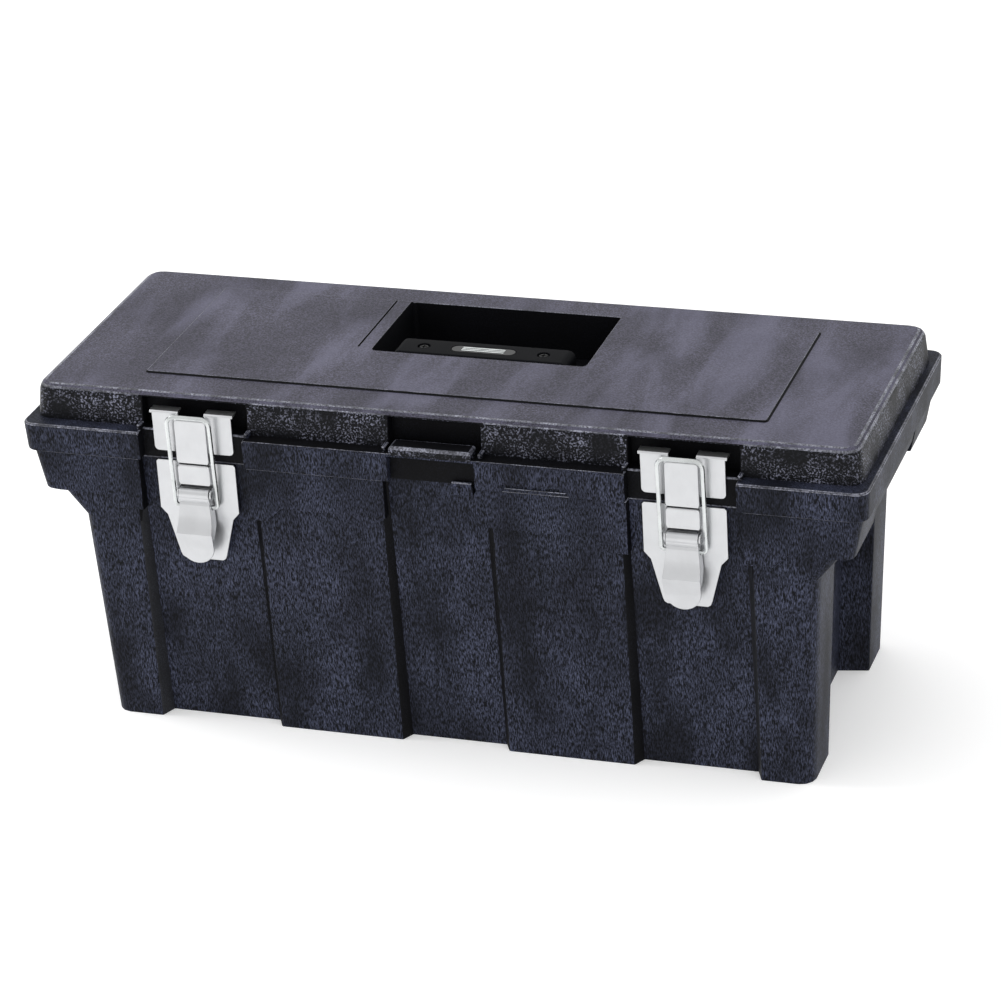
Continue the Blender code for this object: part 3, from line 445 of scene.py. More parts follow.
class Workbench:
    """The modelling steps that the sub-assemblies share."""

    ROUNDED_SLOT = 1
    # Points closer than this, in metres, are one point.
    SAME_POINT = 0.000004
    # Faces that turn less than this are one flat face.
    FLAT_DEGREES = 0.6
    # A squared length below this is no length, as where an edge is one point given twice.
    NO_LENGTH = 1e-12
    # Two edges whose directions away from their shared point have a lower dot product carry each other on.
    CARRIES_ON = -0.72
    # A rounding needs this many times its width on the faces beside it.
    ROOM_NEEDED = 2.1
    # The shares of its width that a rounding is tried at.
    WIDTH_SHARES = (1.0, 0.5, 0.25)
    # How strongly broad flat faces pull the shading at their edges, out of 100.
    FLAT_FACE_WEIGHT = 80
    # A rounded edge whose normal rises more than this gets the painted highlight.
    LOOKS_UP = 0.2

    @staticmethod
    def clear_selection() -> None:
        """Leaves edit mode and deselects every object."""
        if bpy.context.mode != "OBJECT":
            bpy.ops.object.mode_set(mode="OBJECT")
        bpy.ops.object.select_all(action="DESELECT")

    @staticmethod
    def activate(piece: bpy.types.Object) -> None:
        """Makes one object the only selected one and the active one.

        Args:
            piece: The object.
        """
        Workbench.clear_selection()
        piece.select_set(True)
        bpy.context.view_layer.objects.active = piece

    @staticmethod
    def copy_of(node: bpy.types.Object, name: str) -> bpy.types.Object:
        """Copies a frame node's shape into a free piece with whole faces.

        Args:
            node: The frame node.
            name: The new piece's name.

        Returns:
            The new piece, its doubles merged and its flat faces joined.
        """
        mesh = node.data.copy()
        mesh.name = name
        piece = bpy.data.objects.new(name, mesh)
        bpy.context.scene.collection.objects.link(piece)
        Workbench.activate(piece)
        bpy.ops.mesh.customdata_custom_splitnormals_clear()
        bpy.ops.object.mode_set(mode="EDIT")
        bpy.ops.mesh.select_all(action="SELECT")
        bpy.ops.mesh.remove_doubles(threshold=Workbench.SAME_POINT)
        bpy.ops.mesh.dissolve_limited(
            angle_limit=math.radians(Workbench.FLAT_DEGREES), delimit={"NORMAL"}
        )
        bpy.ops.object.mode_set(mode="OBJECT")
        return piece

    @staticmethod
    def gap_between(first: tuple[Vector, Vector], second: tuple[Vector, Vector]) -> float:
        """The distance between two straight edges that don't cross.

        Args:
            first: The ends of one edge.
            second: The ends of the other.

        Returns:
            The distance, in metres.
        """
        gaps = []
        for ends, points in ((first, second), (second, first)):
            along = ends[1] - ends[0]
            for point in points:
                share = (point - ends[0]).dot(along) / max(along.length_squared, Workbench.NO_LENGTH)
                gaps.append((point - ends[0] - along * min(max(share, 0.0), 1.0)).length)
        return min(gaps)

    @staticmethod
    def room_beside(face: bmesh.types.BMFace, edge: bmesh.types.BMEdge) -> float:
        """Measures how far a face stretches from one of its edges before it meets something else.

        Args:
            face: The face.
            edge: One of its edges.

        Returns:
            The distance from the edge to the nearest edge that doesn't carry it on, in metres.
        """
        loops = list(face.loops)
        start = next(index for index, loop in enumerate(loops) if loop.edge == edge)
        carried = {edge}
        for step in (1, -1):
            index = start
            while len(carried) < len(loops):
                here = loops[index].edge
                index = (index + step) % len(loops)
                beyond = loops[index].edge
                shared = (set(here.verts) & set(beyond.verts)).pop()
                one = (here.other_vert(shared).co - shared.co).normalized()
                two = (beyond.other_vert(shared).co - shared.co).normalized()
                if one.dot(two) > Workbench.CARRIES_ON:
                    break
                carried.add(beyond)
        line = tuple(vert.co for vert in edge.verts)
        touched = {vert for item in carried for vert in item.verts}
        room = math.inf
        for loop in loops:
            if loop.edge in carried:
                continue
            ends = [vert.co for vert in loop.edge.verts if vert not in touched]
            if len(ends) == 2:
                room = min(room, Workbench.gap_between(line, (ends[0], ends[1])))
            elif len(ends) == 1:
                room = min(room, Workbench.gap_between(line, (ends[0], ends[0])))
        return room

    @staticmethod
    def round_edges(
        piece: bpy.types.Object, rules: Sequence[EdgeRound], least_degrees: float = 28.0, segments: int = 2
    ) -> None:
        """Rounds a piece's outward edges, each at the widest share that the faces beside it have room for.

        Args:
            piece: The piece.
            rules: The widths, the most particular first. An edge takes the first one whose region it is in.
            least_degrees: The smallest turn that is rounded.
            segments: The number of facets across each rounding.
        """
        shape = bmesh.new()
        shape.from_mesh(piece.data)
        widest = max(rule.width_mm for rule in rules) * MM
        weight = shape.edges.layers.float.new("bevel_weight_edge")
        for edge in shape.edges:
            if not edge.is_convex or edge.calc_face_angle(0.0) < math.radians(least_degrees):
                continue
            middle = (edge.verts[0].co + edge.verts[1].co) / 2 / MM
            width = next(rule.width_mm for rule in rules if rule.chosen(middle)) * MM
            room = min(Workbench.room_beside(face, edge) for face in edge.link_faces)
            for share in Workbench.WIDTH_SHARES:
                if room > Workbench.ROOM_NEEDED * width * share:
                    edge[weight] = width * share / widest
                    break
        shape.to_mesh(piece.data)
        shape.free()
        rounding = piece.modifiers.new("rounded edges", "BEVEL")
        rounding.width = widest
        rounding.segments = segments
        rounding.limit_method = "WEIGHT"
        rounding.use_clamp_overlap = False
        rounding.loop_slide = False
        piece.data.materials.append(None)
        rounding.material = Workbench.ROUNDED_SLOT
        Workbench.apply(piece)

    @staticmethod
    def apply(piece: bpy.types.Object) -> None:
        """Applies every modifier of a piece, in order.

        Args:
            piece: The piece.
        """
        Workbench.activate(piece)
        for modifier in list(piece.modifiers):
            bpy.ops.object.modifier_apply(modifier=modifier.name)

    @staticmethod
    def shade(piece: bpy.types.Object, degrees: float = 32.0) -> None:
        """Shades a piece smooth up to an angle, with flat faces kept flat.

        Args:
            piece: The piece.
            degrees: The sharpest turn that is shaded smooth.
        """
        Workbench.activate(piece)
        bpy.ops.object.shade_smooth_by_angle(angle=math.radians(degrees))
        weighted = piece.modifiers.new("even shading", "WEIGHTED_NORMAL")
        weighted.keep_sharp = True
        weighted.weight = Workbench.FLAT_FACE_WEIGHT
        Workbench.apply(piece)

    @staticmethod
    def dress(
        piece: bpy.types.Object,
        finishes: Sequence[tuple[bpy.types.Material, Where]],
        rest: bpy.types.Material,
        edge_highlight_paint: bpy.types.Material | None = None,
        unhighlighted: Where = lambda middle, normal: False,
    ) -> None:
        """Gives each face of a piece its finish.

        Args:
            piece: The piece.
            finishes: Materials, each with the test that a face's middle, in millimetres, and its normal
                must pass.
            rest: The material of the faces that pass none.
            edge_highlight_paint: The material of the painted highlight on the rounded edges that look up,
                where they catch the light.
            unhighlighted: The test for the rounded edges that get no painted highlight, which are dressed as
                other faces are.
        """
        mesh = piece.data
        rounded = [face.material_index == Workbench.ROUNDED_SLOT for face in mesh.polygons]
        mesh.materials.clear()
        for material in (rest, *(material for material, _ in finishes), edge_highlight_paint or rest):
            mesh.materials.append(material)
        for face, on_edge in zip(mesh.polygons, rounded):
            middle = face.center / MM
            face.material_index = 0
            # A rounded edge that looks up gets the painted highlight of the light that it catches, unless it
            # passes the test for no highlight.
            rubbed = on_edge and face.normal.z > Workbench.LOOKS_UP and not unhighlighted(middle, face.normal)
            if edge_highlight_paint and rubbed:
                face.material_index = len(finishes) + 1
                continue
            for slot, (_, where) in enumerate(finishes, start=1):
                if where(middle, face.normal):
                    face.material_index = slot
                    break

    @staticmethod
    def install(piece: bpy.types.Object, node: str, slot: str, body: str) -> None:
        """Puts a finished piece in a frame node's place.

        Args:
            piece: The piece.
            node: The node that it stands for.
            slot: The record's material slot, which is not used.
            body: The body that it rides on.
        """
        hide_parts(node)
        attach(piece, body)

    @staticmethod
    def paint_node(node: bpy.types.Object, material: bpy.types.Material) -> None:
        """Gives a frame node that stays as it is a finish of its own."""
        node.data.materials.clear()
        node.data.materials.append(material)


@dataclass
class Paints:
    """Every finish of the toolbox, each made once."""

    top: bpy.types.Material = field(init=False)
    grained: bpy.types.Material = field(init=False)
    drawn: bpy.types.Material = field(init=False)
    edge_highlight_paint: bpy.types.Material = field(init=False)
    shaded: bpy.types.Material = field(init=False)
    inner: bpy.types.Material = field(init=False)
    grip: bpy.types.Material = field(init=False)
    tray: bpy.types.Material = field(init=False)
    divider: bpy.types.Material = field(init=False)
    sheet: bpy.types.Material = field(init=False)
    wire: bpy.types.Material = field(init=False)
    pin: bpy.types.Material = field(init=False)
    screw: bpy.types.Material = field(init=False)
    badge: bpy.types.Material = field(init=False)
    enamel: bpy.types.Material = field(init=False)

    def __post_init__(self) -> None:
        """Makes the materials."""
        self.foam()
        self.smooth_plastic()
        self.metal()

    def foam(self) -> None:
        """Makes the foam's finishes: one per moulded skin, and ones with painted sheen, highlight and shade.
        """
        # The broad flat top faces the light: it is painted paler than the walls as a painted sheen, and it
        # shows the melt's long flow streaks.
        self.top = StructuralFoam(
            "structural_foam_painted_sheen",
            "#1A1924",
            0.56,
            specular=0.30,
            bloom="#565468",
            grain_mm=1.3,
            grain_depth_mm=0.14,
            grain_range=(0.38, 0.72),
            least_grain=0.60,
            patch_mm=70.0,
            streak="#6B6A80",
            streak_mm=38.0,
            streak_stretch=(1.0, 0.22, 1.0),
            streak_share=0.42,
        ).build()
        # Coarse grain, etched into the mould where hands rub, sparkles in patches.
        self.grained = StructuralFoam(
            "structural_foam_etched",
            "#040509",
            0.48,
            specular=0.14,
            bloom="#7B7D8E",
            grain_mm=1.5,
            grain_depth_mm=0.30,
            grain_range=(0.52, 0.66),
            least_grain=0.05,
            patch_mm=24.0,
        ).build()
        # Walls that slid out of the mould carry upright drag lines that lean a little.
        self.drawn = StructuralFoam(
            "structural_foam_drawn",
            "#04050A",
            0.52,
            specular=0.10,
            bloom="#545970",
            grain_mm=0.8,
            grain_depth_mm=0.12,
            grain_range=(0.42, 0.78),
            grain_stretch=(1.0, 1.0, 0.24),
            lean_degrees=5.0,
            patch_stretch=(1.0, 1.0, 0.45),
        ).build()
        # The rounded edges that look up are painted pale and patchy: a painted highlight where they catch the
        # light.
        self.edge_highlight_paint = StructuralFoam(
            "structural_foam_painted_highlight",
            "#1B1C24",
            0.42,
            bloom="#8A8C9A",
            grain_mm=1.6,
            grain_depth_mm=0.08,
            grain_range=(0.36, 0.60),
            least_grain=0.20,
            patch_mm=14.0,
        ).build()
        # Steps, creases, pockets and notches are painted a deep near-black: painted shade where the light
        # doesn't reach them.
        self.shaded = StructuralFoam(
            "structural_foam_painted_shade", "#030305", 0.62, specular=0.10, bloom="#101117", grain_depth_mm=0.08
        ).build()
        # The mould's core was left smooth, so the inside is plain and a little greyer, with hardly any grain.
        self.inner = StructuralFoam(
            "structural_foam_inner", "#0C0D12", 0.58, specular=0.25, bloom="#24262E", grain_depth_mm=0.06
        ).build()

    def smooth_plastic(self) -> None:
        """Makes the finishes of the injection-moulded plastic."""
        # Moulded black polypropylene, dull and even, so that the grip sinks into the dark pocket.
        self.grip = SmoothPlastic(
            "polypropylene_black", "#050609", 0.60, specular=0.05, fleck="#0A0B0F"
        ).build()
        # Moulded grey polypropylene, with the soft waxy shine of a cheap tray.
        self.tray = SmoothPlastic("polypropylene_grey", "#3A3D44", 0.46, fleck="#43464E").build()
        # The same plastic, moulded in a paler grey, so that the loose dividers stand out in the tray.
        self.divider = SmoothPlastic("polypropylene_pale_grey", "#6B7078", 0.46, fleck="#747982").build()

    def metal(self) -> None:
        """Makes the finishes of the metal pieces."""
        # Pressed sheet under bright nickel: pale and softly blurred, with upright lines from the rolling.
        self.sheet = WorkedMetal("nickel_plated_sheet", "#C6C7C9", 0.34, dull="#BFC0C2").build()
        # Drawn wire under bright nickel: smoother than the sheet, so that it shows sharp highlights.
        self.wire = WorkedMetal(
            "nickel_plated_wire",
            "#CFD2D2",
            0.22,
            dull="#B9BCBC",
            stretch=(0.2, 0.2, 0.2),
            line_depth_mm=0.002,
        ).build()
        # Turned and headed steel under zinc: greyer and duller than the nickel beside it.
        self.pin = WorkedMetal("zinc_plated_steel", "#A9ACAF", 0.34, dull="#8E9194").build()
        # Steel blackened in hot salts: near-black, with a low shine.
        self.screw = WorkedMetal("blackened_steel", "#17181A", 0.46, dull="#0E0F10", cloud_mm=4.0).build()
        # Satin-rubbed aluminium, with its lines along the plate: pale bars with a soft shine.
        self.badge = WorkedMetal(
            "satin_aluminium", "#D8DCDC", 0.32, dull="#B4B9B9", stretch=(0.05, 1.0, 1.0), cloud_mm=9.0
        ).build()
        # Baked black enamel round the bars: deep black, even and a little glossy.
        self.enamel = SmoothPlastic("black_enamel", "#040406", 0.30, specular=0.3, fleck="#08080B").build()


# Sub-assemblies


@dataclass
class Tub:
    """The base moulding with its hinge pin.

    Attributes:
        nodes: The frame's nodes, by name.
        paints: The finishes.
        inner: How far the hollow reaches from the middle along X and Y.
        floor_z: The heights that the hollow's floor lies between.
        panels: How far the front panels reach along X, and how far from the middle they start along Y.
        recess: Where the end recesses start along X, and how far they reach along Y.
        corner: Where the rounded corners and panel edges start along X and Y.
        corner_z: The heights that the corners' rounding lies between.
        band_z: The height where the rim band's rounding starts.
        rim: Where the rim's outer edges start along X and Y.
        inward: The least that a face of the hollow looks towards the middle.
        level: The least rise of the normal of a level face.
        step_lean: The least that a step between panels faces along X.
    """

    nodes: dict[str, bpy.types.Object]
    paints: Paints
    inner: tuple[float, float] = (306.0, 121.0)
    floor_z: tuple[float, float] = (3.0, 6.0)
    panels: tuple[float, float] = (245.0, 100.0)
    recess: tuple[float, float] = (263.0, 70.0)
    corner: tuple[float, float] = (40.0, 60.0)
    corner_z: tuple[float, float] = (1.0, 190.0)
    band_z: float = 180.0
    rim: tuple[float, float] = (262.0, 112.0)
    inward: float = 0.2
    level: float = 0.9
    step_lean: float = 0.4

    def inside(self, middle: Vector, normal: Vector) -> bool:
        """Whether a face belongs to the hollow.

        Args:
            middle: The face's middle.
            normal: Its normal.

        Returns:
            Whether it is the hollow's floor, or lies within the walls and looks inwards.
        """
        towards = -normal.x * middle.x - normal.y * middle.y
        within = abs(middle.x) < self.inner[0] and abs(middle.y) < self.inner[1]
        on_wall = towards > self.inward and within and middle.z > self.floor_z[0]
        on_floor = normal.z > self.level and middle.z < self.floor_z[1]
        return on_floor or (on_wall and not self.in_recess(middle))

    def on_step(self, middle: Vector, normal: Vector) -> bool:
        """Whether a face is a narrow upright step between a panel and a channel, which gets painted shade."""
        beside_panel = abs(middle.x) < self.panels[0] and abs(middle.y) > self.panels[1]
        return beside_panel and abs(normal.x) > self.step_lean

    def in_recess(self, middle: Vector) -> bool:
        """Whether a face stands in one of the open recesses at the ends."""
        return abs(middle.x) > self.recess[0] and abs(middle.y) < self.recess[1]

    def on_corner(self, point: Vector) -> bool:
        """Whether an edge is on the posts, panels or feet."""
        outside = abs(point.x) > self.corner[0] and abs(point.y) > self.corner[1]
        return outside and self.corner_z[0] < point.z < self.corner_z[1]

    def on_band(self, point: Vector) -> bool:
        """Whether an edge is on the outside of the rim band."""
        outside = abs(point.x) > self.rim[0] or abs(point.y) > self.rim[1]
        return outside and point.z >= self.band_z

    def build(self) -> list[bpy.types.Object]:
        """Makes and dresses the tub.

        Returns:
            The pieces that ride on the base.
        """
        shell = Workbench.copy_of(self.nodes["base_shell"], "tub")
        rules = [EdgeRound(1.6, self.on_corner), EdgeRound(1.0, self.on_band), EdgeRound(0.6, anywhere)]
        Workbench.round_edges(shell, rules)
        Workbench.shade(shell)
        # The steps take the near-black foam as painted shade, and the rounded edges that look up take the
        # painted highlight.
        finishes = [(self.paints.inner, self.inside), (self.paints.shaded, self.on_step)]
        Workbench.dress(shell, finishes, self.paints.drawn, self.paints.edge_highlight_paint)
        Workbench.install(shell, "base_shell", "structural_foam", "base")
        Workbench.paint_node(self.nodes["hinge_pin"], self.paints.pin)
        return [shell]


@dataclass
class LidMoulding:
    """The lid with its flange, grained front blocks, notches, raised panel and handle pocket.

    Attributes:
        nodes: The frame's nodes, by name.
        paints: The finishes.
        flange_z: The height of the flange's top.
        top_z: The height of the top round the raised panel.
        least_top_z: The height above which a face that looks up is on the top.
        panel_z: The height of the raised panel.
        panel: How far the raised panel's edges reach along X and Y.
        block: Where the grained blocks start along X and Y.
        pocket_x: How far the handle pocket reaches along X.
        pocket_y: Where it starts and ends along Y.
        centre_notch_x: How far the centre notch reaches along X.
        latch_notch_x: Where a latch notch starts and ends along X.
        notch_y: Where the notches start and end along Y.
        notch_drop: How far below the top a notch's walls start.
        hollow_y: How far the hollow reaches along Y.
        hollow_z: The height where it starts.
        pocket_edge_x: How far the pocket's own edges reach along X.
        pocket_edge_y: Where they start and end along Y.
        panel_edge: How far the raised panel's own edges reach along X and Y.
        panel_edge_drop: How far below the top they start.
        block_rise: How far above the flange the blocks' edges start.
        flange_drop: How far below its top the flange's edges start.
        slack: How far inside its limits a face's middle has to lie.
        rises: The least rise of the normal of a face on the top.
        sinks: The least drop of the normal of a face under the lid.
    """

    nodes: dict[str, bpy.types.Object]
    paints: Paints
    flange_z: float = 251.4
    top_z: float = 278.6
    least_top_z: float = 276.0
    panel_z: float = 280.0
    panel: tuple[float, float] = (252.0, 92.0)
    block: tuple[float, float] = (312.0, 110.0)
    pocket_x: float = 86.5
    pocket_y: tuple[float, float] = (-12.5, 88.5)
    centre_notch_x: float = 36.5
    latch_notch_x: tuple[float, float] = (148.0, 234.0)
    notch_y: tuple[float, float] = (-127.0, -100.0)
    notch_drop: float = 3.0
    hollow_y: float = 127.0
    hollow_z: float = 229.5
    pocket_edge_x: float = 100.0
    pocket_edge_y: tuple[float, float] = (-20.0, 95.0)
    panel_edge: tuple[float, float] = (260.0, 100.0)
    panel_edge_drop: float = 0.3
    block_rise: float = 3.0
    flange_drop: float = 4.0
    slack: float = 0.1
    rises: float = 0.55
    sinks: float = 0.5

    def is_top(self, middle: Vector, normal: Vector) -> bool:
        """Whether a face is on the streaked top, which takes the foam with the painted sheen."""
        return normal.z > self.rises and middle.z > self.least_top_z

    def is_crease(self, middle: Vector, normal: Vector) -> bool:
        """Whether a face is on the narrow slope round the raised panel or the pocket, which gets painted
        shade.
        """
        on_slope = self.top_z + self.slack < middle.z < self.panel_z - self.slack
        return on_slope and abs(middle.x) < self.panel[0] and abs(middle.y) < self.panel[1]

    def is_grained(self, middle: Vector, normal: Vector) -> bool:
        """Whether a face is on the grained walls round the top.

        Args:
            middle: The face's middle.
            normal: Its normal.

        Returns:
            Whether it looks outwards, above the flange and outside the blocks' start.
        """
        outward = normal.x * middle.x + normal.y * middle.y > 0.0
        above = middle.z > self.flange_z + self.slack
        return outward and above and (abs(middle.x) > self.block[0] or abs(middle.y) > self.block[1])

    def is_shaded(self, middle: Vector, normal: Vector) -> bool:
        """Whether a face is in the handle pocket, a latch notch or the centre notch, which get painted shade.

        Args:
            middle: The face's middle.
            normal: Its normal, which doesn't matter here.

        Returns:
            Whether it is in one of them.
        """
        along = abs(middle.x)
        in_pocket = along < self.pocket_x and self.pocket_y[0] < middle.y < self.pocket_y[1]
        at_latch = self.latch_notch_x[0] < along < self.latch_notch_x[1]
        in_notch = self.notch_y[0] < middle.y < self.notch_y[1] and (along < self.centre_notch_x or at_latch)
        if in_pocket:
            return middle.z < self.top_z
        return in_notch and middle.z < self.top_z - self.notch_drop

    def is_inner(self, middle: Vector, normal: Vector) -> bool:
        """Whether a face is inside the lid's hollow."""
        return normal.z < -self.sinks and middle.z > self.hollow_z and abs(middle.y) < self.hollow_y

    def by_pocket(self, point: Vector) -> bool:
        """Whether an edge is in or near the handle pocket."""
        return abs(point.x) < self.pocket_edge_x and self.pocket_edge_y[0] < point.y < self.pocket_edge_y[1]

    def by_panel(self, point: Vector) -> bool:
        """Whether an edge is on the raised panel."""
        within = abs(point.x) < self.panel_edge[0] and abs(point.y) < self.panel_edge[1]
        return within and point.z > self.top_z - self.panel_edge_drop

    def build(self) -> list[bpy.types.Object]:
        """Makes and dresses the lid.

        Returns:
            The pieces that ride on the lid.
        """
        shell = Workbench.copy_of(self.nodes["lid_shell"], "lid")
        rules = [
            EdgeRound(0.5, self.by_pocket),
            EdgeRound(0.35, self.by_panel),
            EdgeRound(2.2, lambda point: point.z > self.flange_z + self.block_rise),
            EdgeRound(1.3, lambda point: point.z > self.flange_z - self.flange_drop),
            EdgeRound(0.9, anywhere),
        ]
        Workbench.round_edges(shell, rules, segments=3)
        Workbench.shade(shell, 36.0)
        # The crease, the pocket and the notches get painted shade, and the top gets its painted sheen.
        # The rounded edges that look up, except on the crease, get the painted highlight.
        finishes = [
            (self.paints.shaded, self.is_crease),
            (self.paints.top, self.is_top),
            (self.paints.shaded, self.is_shaded),
            (self.paints.grained, self.is_grained),
            (self.paints.inner, self.is_inner),
        ]
        Workbench.dress(shell, finishes, self.paints.drawn, self.paints.edge_highlight_paint, self.is_crease)
        Workbench.install(shell, "lid_shell", "structural_foam", "lid")
        return [shell]


@dataclass
class CarryHandle:
    """The grip in the pocket, with its two screws and the name plate, which has bars in place of a name.

    Attributes:
        nodes: The frame's nodes, by name.
        paints: The finishes.
        bar_z: The height above which a face is on a bar.
        rises: The least rise of the normal of a face on top of a bar.
    """

    nodes: dict[str, bpy.types.Object]
    paints: Paints
    bar_z: float = 279.95
    rises: float = 0.3

    def on_bar(self, middle: Vector, normal: Vector) -> bool:
        """Whether a face is on top of one of the plate's raised bars."""
        return normal.z > self.rises and middle.z > self.bar_z

    def build(self) -> list[bpy.types.Object]:
        """Makes and dresses the handle.

        Returns:
            The pieces that ride on the lid.
        """
        grip = Workbench.copy_of(self.nodes["handle_grip"], "grip")
        Workbench.round_edges(grip, [EdgeRound(0.5, anywhere)])
        Workbench.shade(grip, 40.0)
        Workbench.dress(grip, [], self.paints.grip)
        Workbench.install(grip, "handle_grip", "grip_plastic", "lid")
        for name in ("handle_screw_left", "handle_screw_right"):
            Workbench.paint_node(self.nodes[name], self.paints.screw)
        plate = Workbench.copy_of(self.nodes["handle_badge"], "name_plate")
        Workbench.round_edges(plate, [EdgeRound(0.25, anywhere)])
        Workbench.shade(plate)
        Workbench.dress(plate, [(self.paints.badge, self.on_bar)], self.paints.enamel)
        Workbench.install(plate, "handle_badge", "badge_metal", "lid")
        return [grip, plate]


class Side(Enum):
    """Which of the two latches, by the word that its nodes and pieces start with."""

    LEFT = "left"
    RIGHT = "right"


@dataclass
class DrawLatch:
    """One draw latch: two pressed plates, their rivets and pin, the lever and the wire bail.

    Attributes:
        nodes: The frame's nodes, by name.
        paints: The finishes.
        side: Which latch it is.
        raised_y: The raised parts of the plates stand in front of this.
        raised_z: Their broad roundings start at this height.
    """

    nodes: dict[str, bpy.types.Object]
    paints: Paints
    side: Side
    raised_y: float = -127.0
    raised_z: float = 207.0

    def on_raised(self, point: Vector) -> bool:
        """Whether an edge is on a raised part of a plate, which is pressed with a broad rounding."""
        return point.y < self.raised_y and point.z > self.raised_z

    def pressed(self, node: str, body: str) -> bpy.types.Object:
        """Makes one pressed plate from its frame node.

        Args:
            node: The node's name without the side.
            body: The body that it rides on.

        Returns:
            The finished plate.
        """
        full = f"{self.side.value}_{node}"
        plate = Workbench.copy_of(self.nodes[full], f"{full}_pressed")
        rules = [EdgeRound(1.5, self.on_raised), EdgeRound(0.35, anywhere)]
        Workbench.round_edges(plate, rules, segments=3)
        Workbench.shade(plate, 38.0)
        Workbench.dress(plate, [], self.paints.sheet)
        Workbench.install(plate, full, "latch_steel", body)
        return plate

    def lever(self) -> bpy.types.Object:
        """Makes the lever.

        Returns:
            The finished lever.
        """
        full = f"{self.side.value}_lever"
        lever = Workbench.copy_of(self.nodes[full], f"{full}_formed")
        Workbench.round_edges(lever, [EdgeRound(0.5, anywhere)])
        Workbench.shade(lever, 40.0)
        Workbench.dress(lever, [], self.paints.sheet)
        Workbench.install(lever, full, "latch_steel", full)
        return lever

    def build(self) -> list[bpy.types.Object]:
        """Makes and dresses the latch.

        Returns:
            Its new pieces.
        """
        made = [self.pressed("base_plate", "base"), self.pressed("strike_plate", "lid"), self.lever()]
        Workbench.paint_node(self.nodes[f"{self.side.value}_bail"], self.paints.wire)
        rivets = ("base_rivet_lower", "base_rivet_upper", "strike_rivet_outer", "strike_rivet_inner")
        for name in ("pivot_pin", *rivets):
            Workbench.paint_node(self.nodes[f"{self.side.value}_{name}"], self.paints.pin)
        return made


@dataclass
class LiftOutTray:
    """The tray and its two loose dividers.

    Attributes:
        nodes: The frame's nodes, by name.
        paints: The finishes.
    """

    nodes: dict[str, bpy.types.Object]
    paints: Paints

    def build(self) -> list[bpy.types.Object]:
        """Makes and dresses the tray.

        Returns:
            The pieces that ride on the tray.
        """
        tray = Workbench.copy_of(self.nodes["tray"], "parts_tray")
        Workbench.round_edges(tray, [EdgeRound(0.7, anywhere)])
        Workbench.shade(tray)
        Workbench.dress(tray, [], self.paints.tray)
        Workbench.install(tray, "tray", "tray_plastic", "tray")
        for name in ("tray_divider_left", "tray_divider_right"):
            Workbench.paint_node(self.nodes[name], self.paints.divider)
        return [tray]


@dataclass(frozen=True)
class Softbox:
    """A square softbox.

    Attributes:
        name: Its name.
        place: Where it hangs, in metres.
        power: Its power, in watts.
        side: Its side, in metres.
    """

    name: str
    place: Metres
    power: float
    side: float


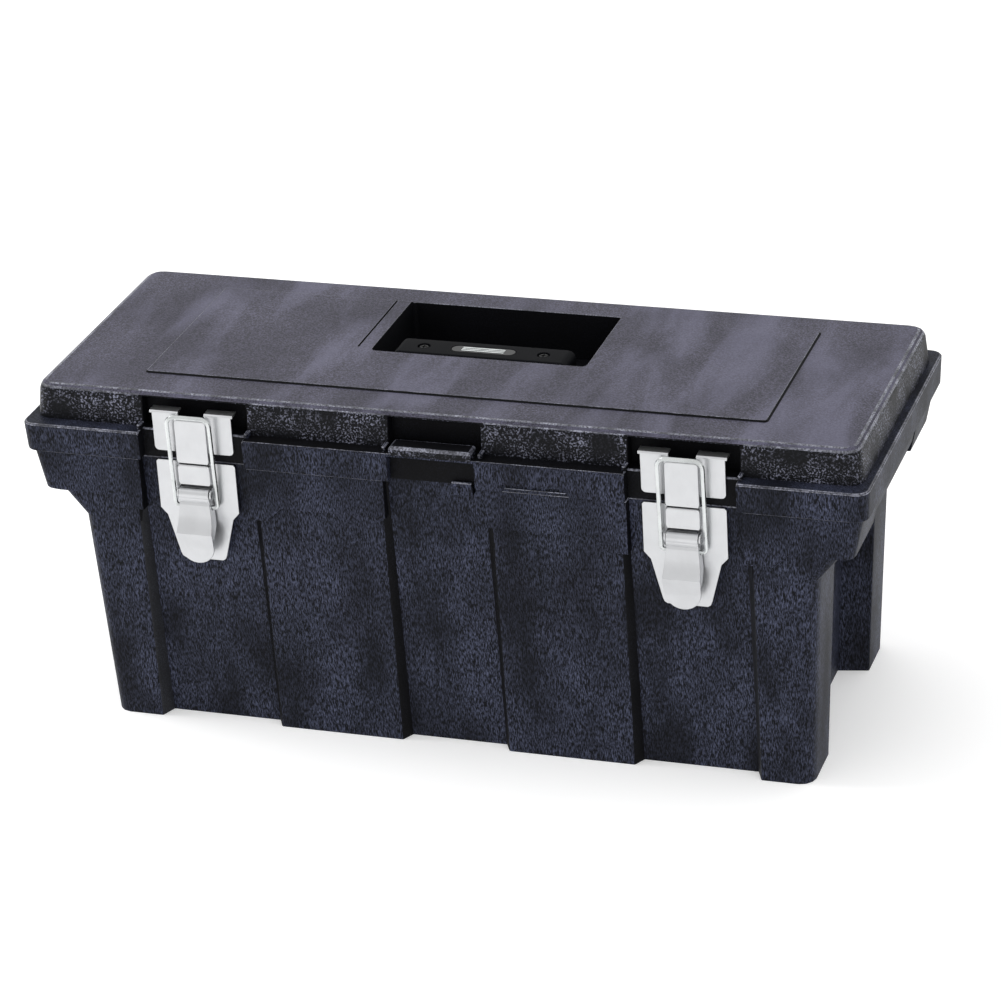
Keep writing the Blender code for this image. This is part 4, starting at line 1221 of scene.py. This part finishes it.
@dataclass
class Studio:
    """A white floor, a soft key light from the left, fill from the right and behind, and the camera.

    Attributes:
        camera_mm: The camera's place.
        aim_mm: What it looks at.
        roll_degrees: How far it is turned about its line of sight.
        lens_mm: Its focal length.
        sensor_mm: How wide its sensor is.
        clip: The nearest and farthest distances that it sees, in metres.
        floor_side: The floor's side, in metres.
        world_strength: How bright the surroundings are.
        lamp_aim: What the softboxes face, in metres.
        softboxes: The softboxes.
    """

    camera_mm: Millimetres = (912.3, -2589.8, 1463.4)
    aim_mm: Millimetres = (7.6, 0.0, 155.1)
    roll_degrees: float = -3.46
    lens_mm: float = 140.9
    sensor_mm: float = 36.0
    clip: tuple[float, float] = (0.1, 100.0)
    floor_side: float = 12.0
    world_strength: float = 0.98
    lamp_aim: Metres = (0.0, 0.0, 0.15)
    softboxes: tuple[Softbox, ...] = (
        Softbox("key", (-2.3, -0.2, 2.0), 30.0, 1.1),
        Softbox("fill", (1.5, -2.1, 1.7), 15.0, 2.2),
        Softbox("back", (-1.0, 2.4, 2.2), 6.0, 2.0),
    )

    def camera(self) -> None:
        """Places the camera, turned a little about its own line of sight."""
        data = bpy.data.cameras.new("camera")
        data.lens = self.lens_mm
        data.sensor_width = self.sensor_mm
        data.clip_start, data.clip_end = self.clip
        camera = bpy.data.objects.new("camera", data)
        bpy.context.scene.collection.objects.link(camera)
        place, aim = Vector(self.camera_mm) * MM, Vector(self.aim_mm) * MM
        ahead = (aim - place).normalized()
        right = ahead.cross(Vector((0.0, 0.0, 1.0))).normalized()
        up = right.cross(ahead)
        roll = math.radians(self.roll_degrees)
        across = right * math.cos(roll) + up * math.sin(roll)
        above = up * math.cos(roll) - right * math.sin(roll)
        turn = Matrix((across, above, -ahead)).transposed().to_4x4()
        camera.matrix_world = Matrix.Translation(place) @ turn
        bpy.context.scene.camera = camera

    def hang(self, softbox: Softbox) -> None:
        """Hangs one softbox and turns it to what it faces.

        Args:
            softbox: The softbox.
        """
        data = bpy.data.lights.new(softbox.name, "AREA")
        data.energy = softbox.power
        data.size = softbox.side
        lamp = bpy.data.objects.new(softbox.name, data)
        bpy.context.scene.collection.objects.link(lamp)
        place, aim = Vector(softbox.place), Vector(self.lamp_aim)
        turn = (aim - place).to_track_quat("-Z", "Y").to_matrix().to_4x4()
        lamp.matrix_world = Matrix.Translation(place) @ turn

    def build(self) -> None:
        """Makes the floor, the light and the camera."""
        scene = bpy.context.scene
        scene.view_settings.view_transform = "Standard"
        world = bpy.data.worlds.new("studio")
        world.use_nodes = True
        backdrop = world.node_tree.nodes["Background"]
        backdrop.inputs["Color"].default_value = linear("#FFFFFF")
        backdrop.inputs["Strength"].default_value = self.world_strength
        scene.world = world
        Workbench.clear_selection()
        bpy.ops.mesh.primitive_plane_add(size=self.floor_side, location=(0.0, 0.0, 0.0))
        floor = bpy.context.object
        floor.name = "floor"
        floor.data.materials.append(PaintedFloor("matt_white_paint", "#FBFBFB", 0.9).build())
        for softbox in self.softboxes:
            self.hang(softbox)
        self.camera()


def main() -> None:
    """Builds the toolbox round the frame, then the studio."""
    logging.basicConfig(level=logging.INFO, format="%(name)s: %(message)s")
    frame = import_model()
    nodes = frame["nodes"]
    paints = Paints()
    assemblies = [
        Tub(nodes, paints),
        LidMoulding(nodes, paints),
        CarryHandle(nodes, paints),
        DrawLatch(nodes, paints, Side.LEFT),
        DrawLatch(nodes, paints, Side.RIGHT),
        LiftOutTray(nodes, paints),
    ]
    for assembly in assemblies:
        for piece in assembly.build():
            LOG.info("%s has %d faces", piece.name, len(piece.data.polygons))
    Studio().build()


if __name__ == "__main__":
    main()
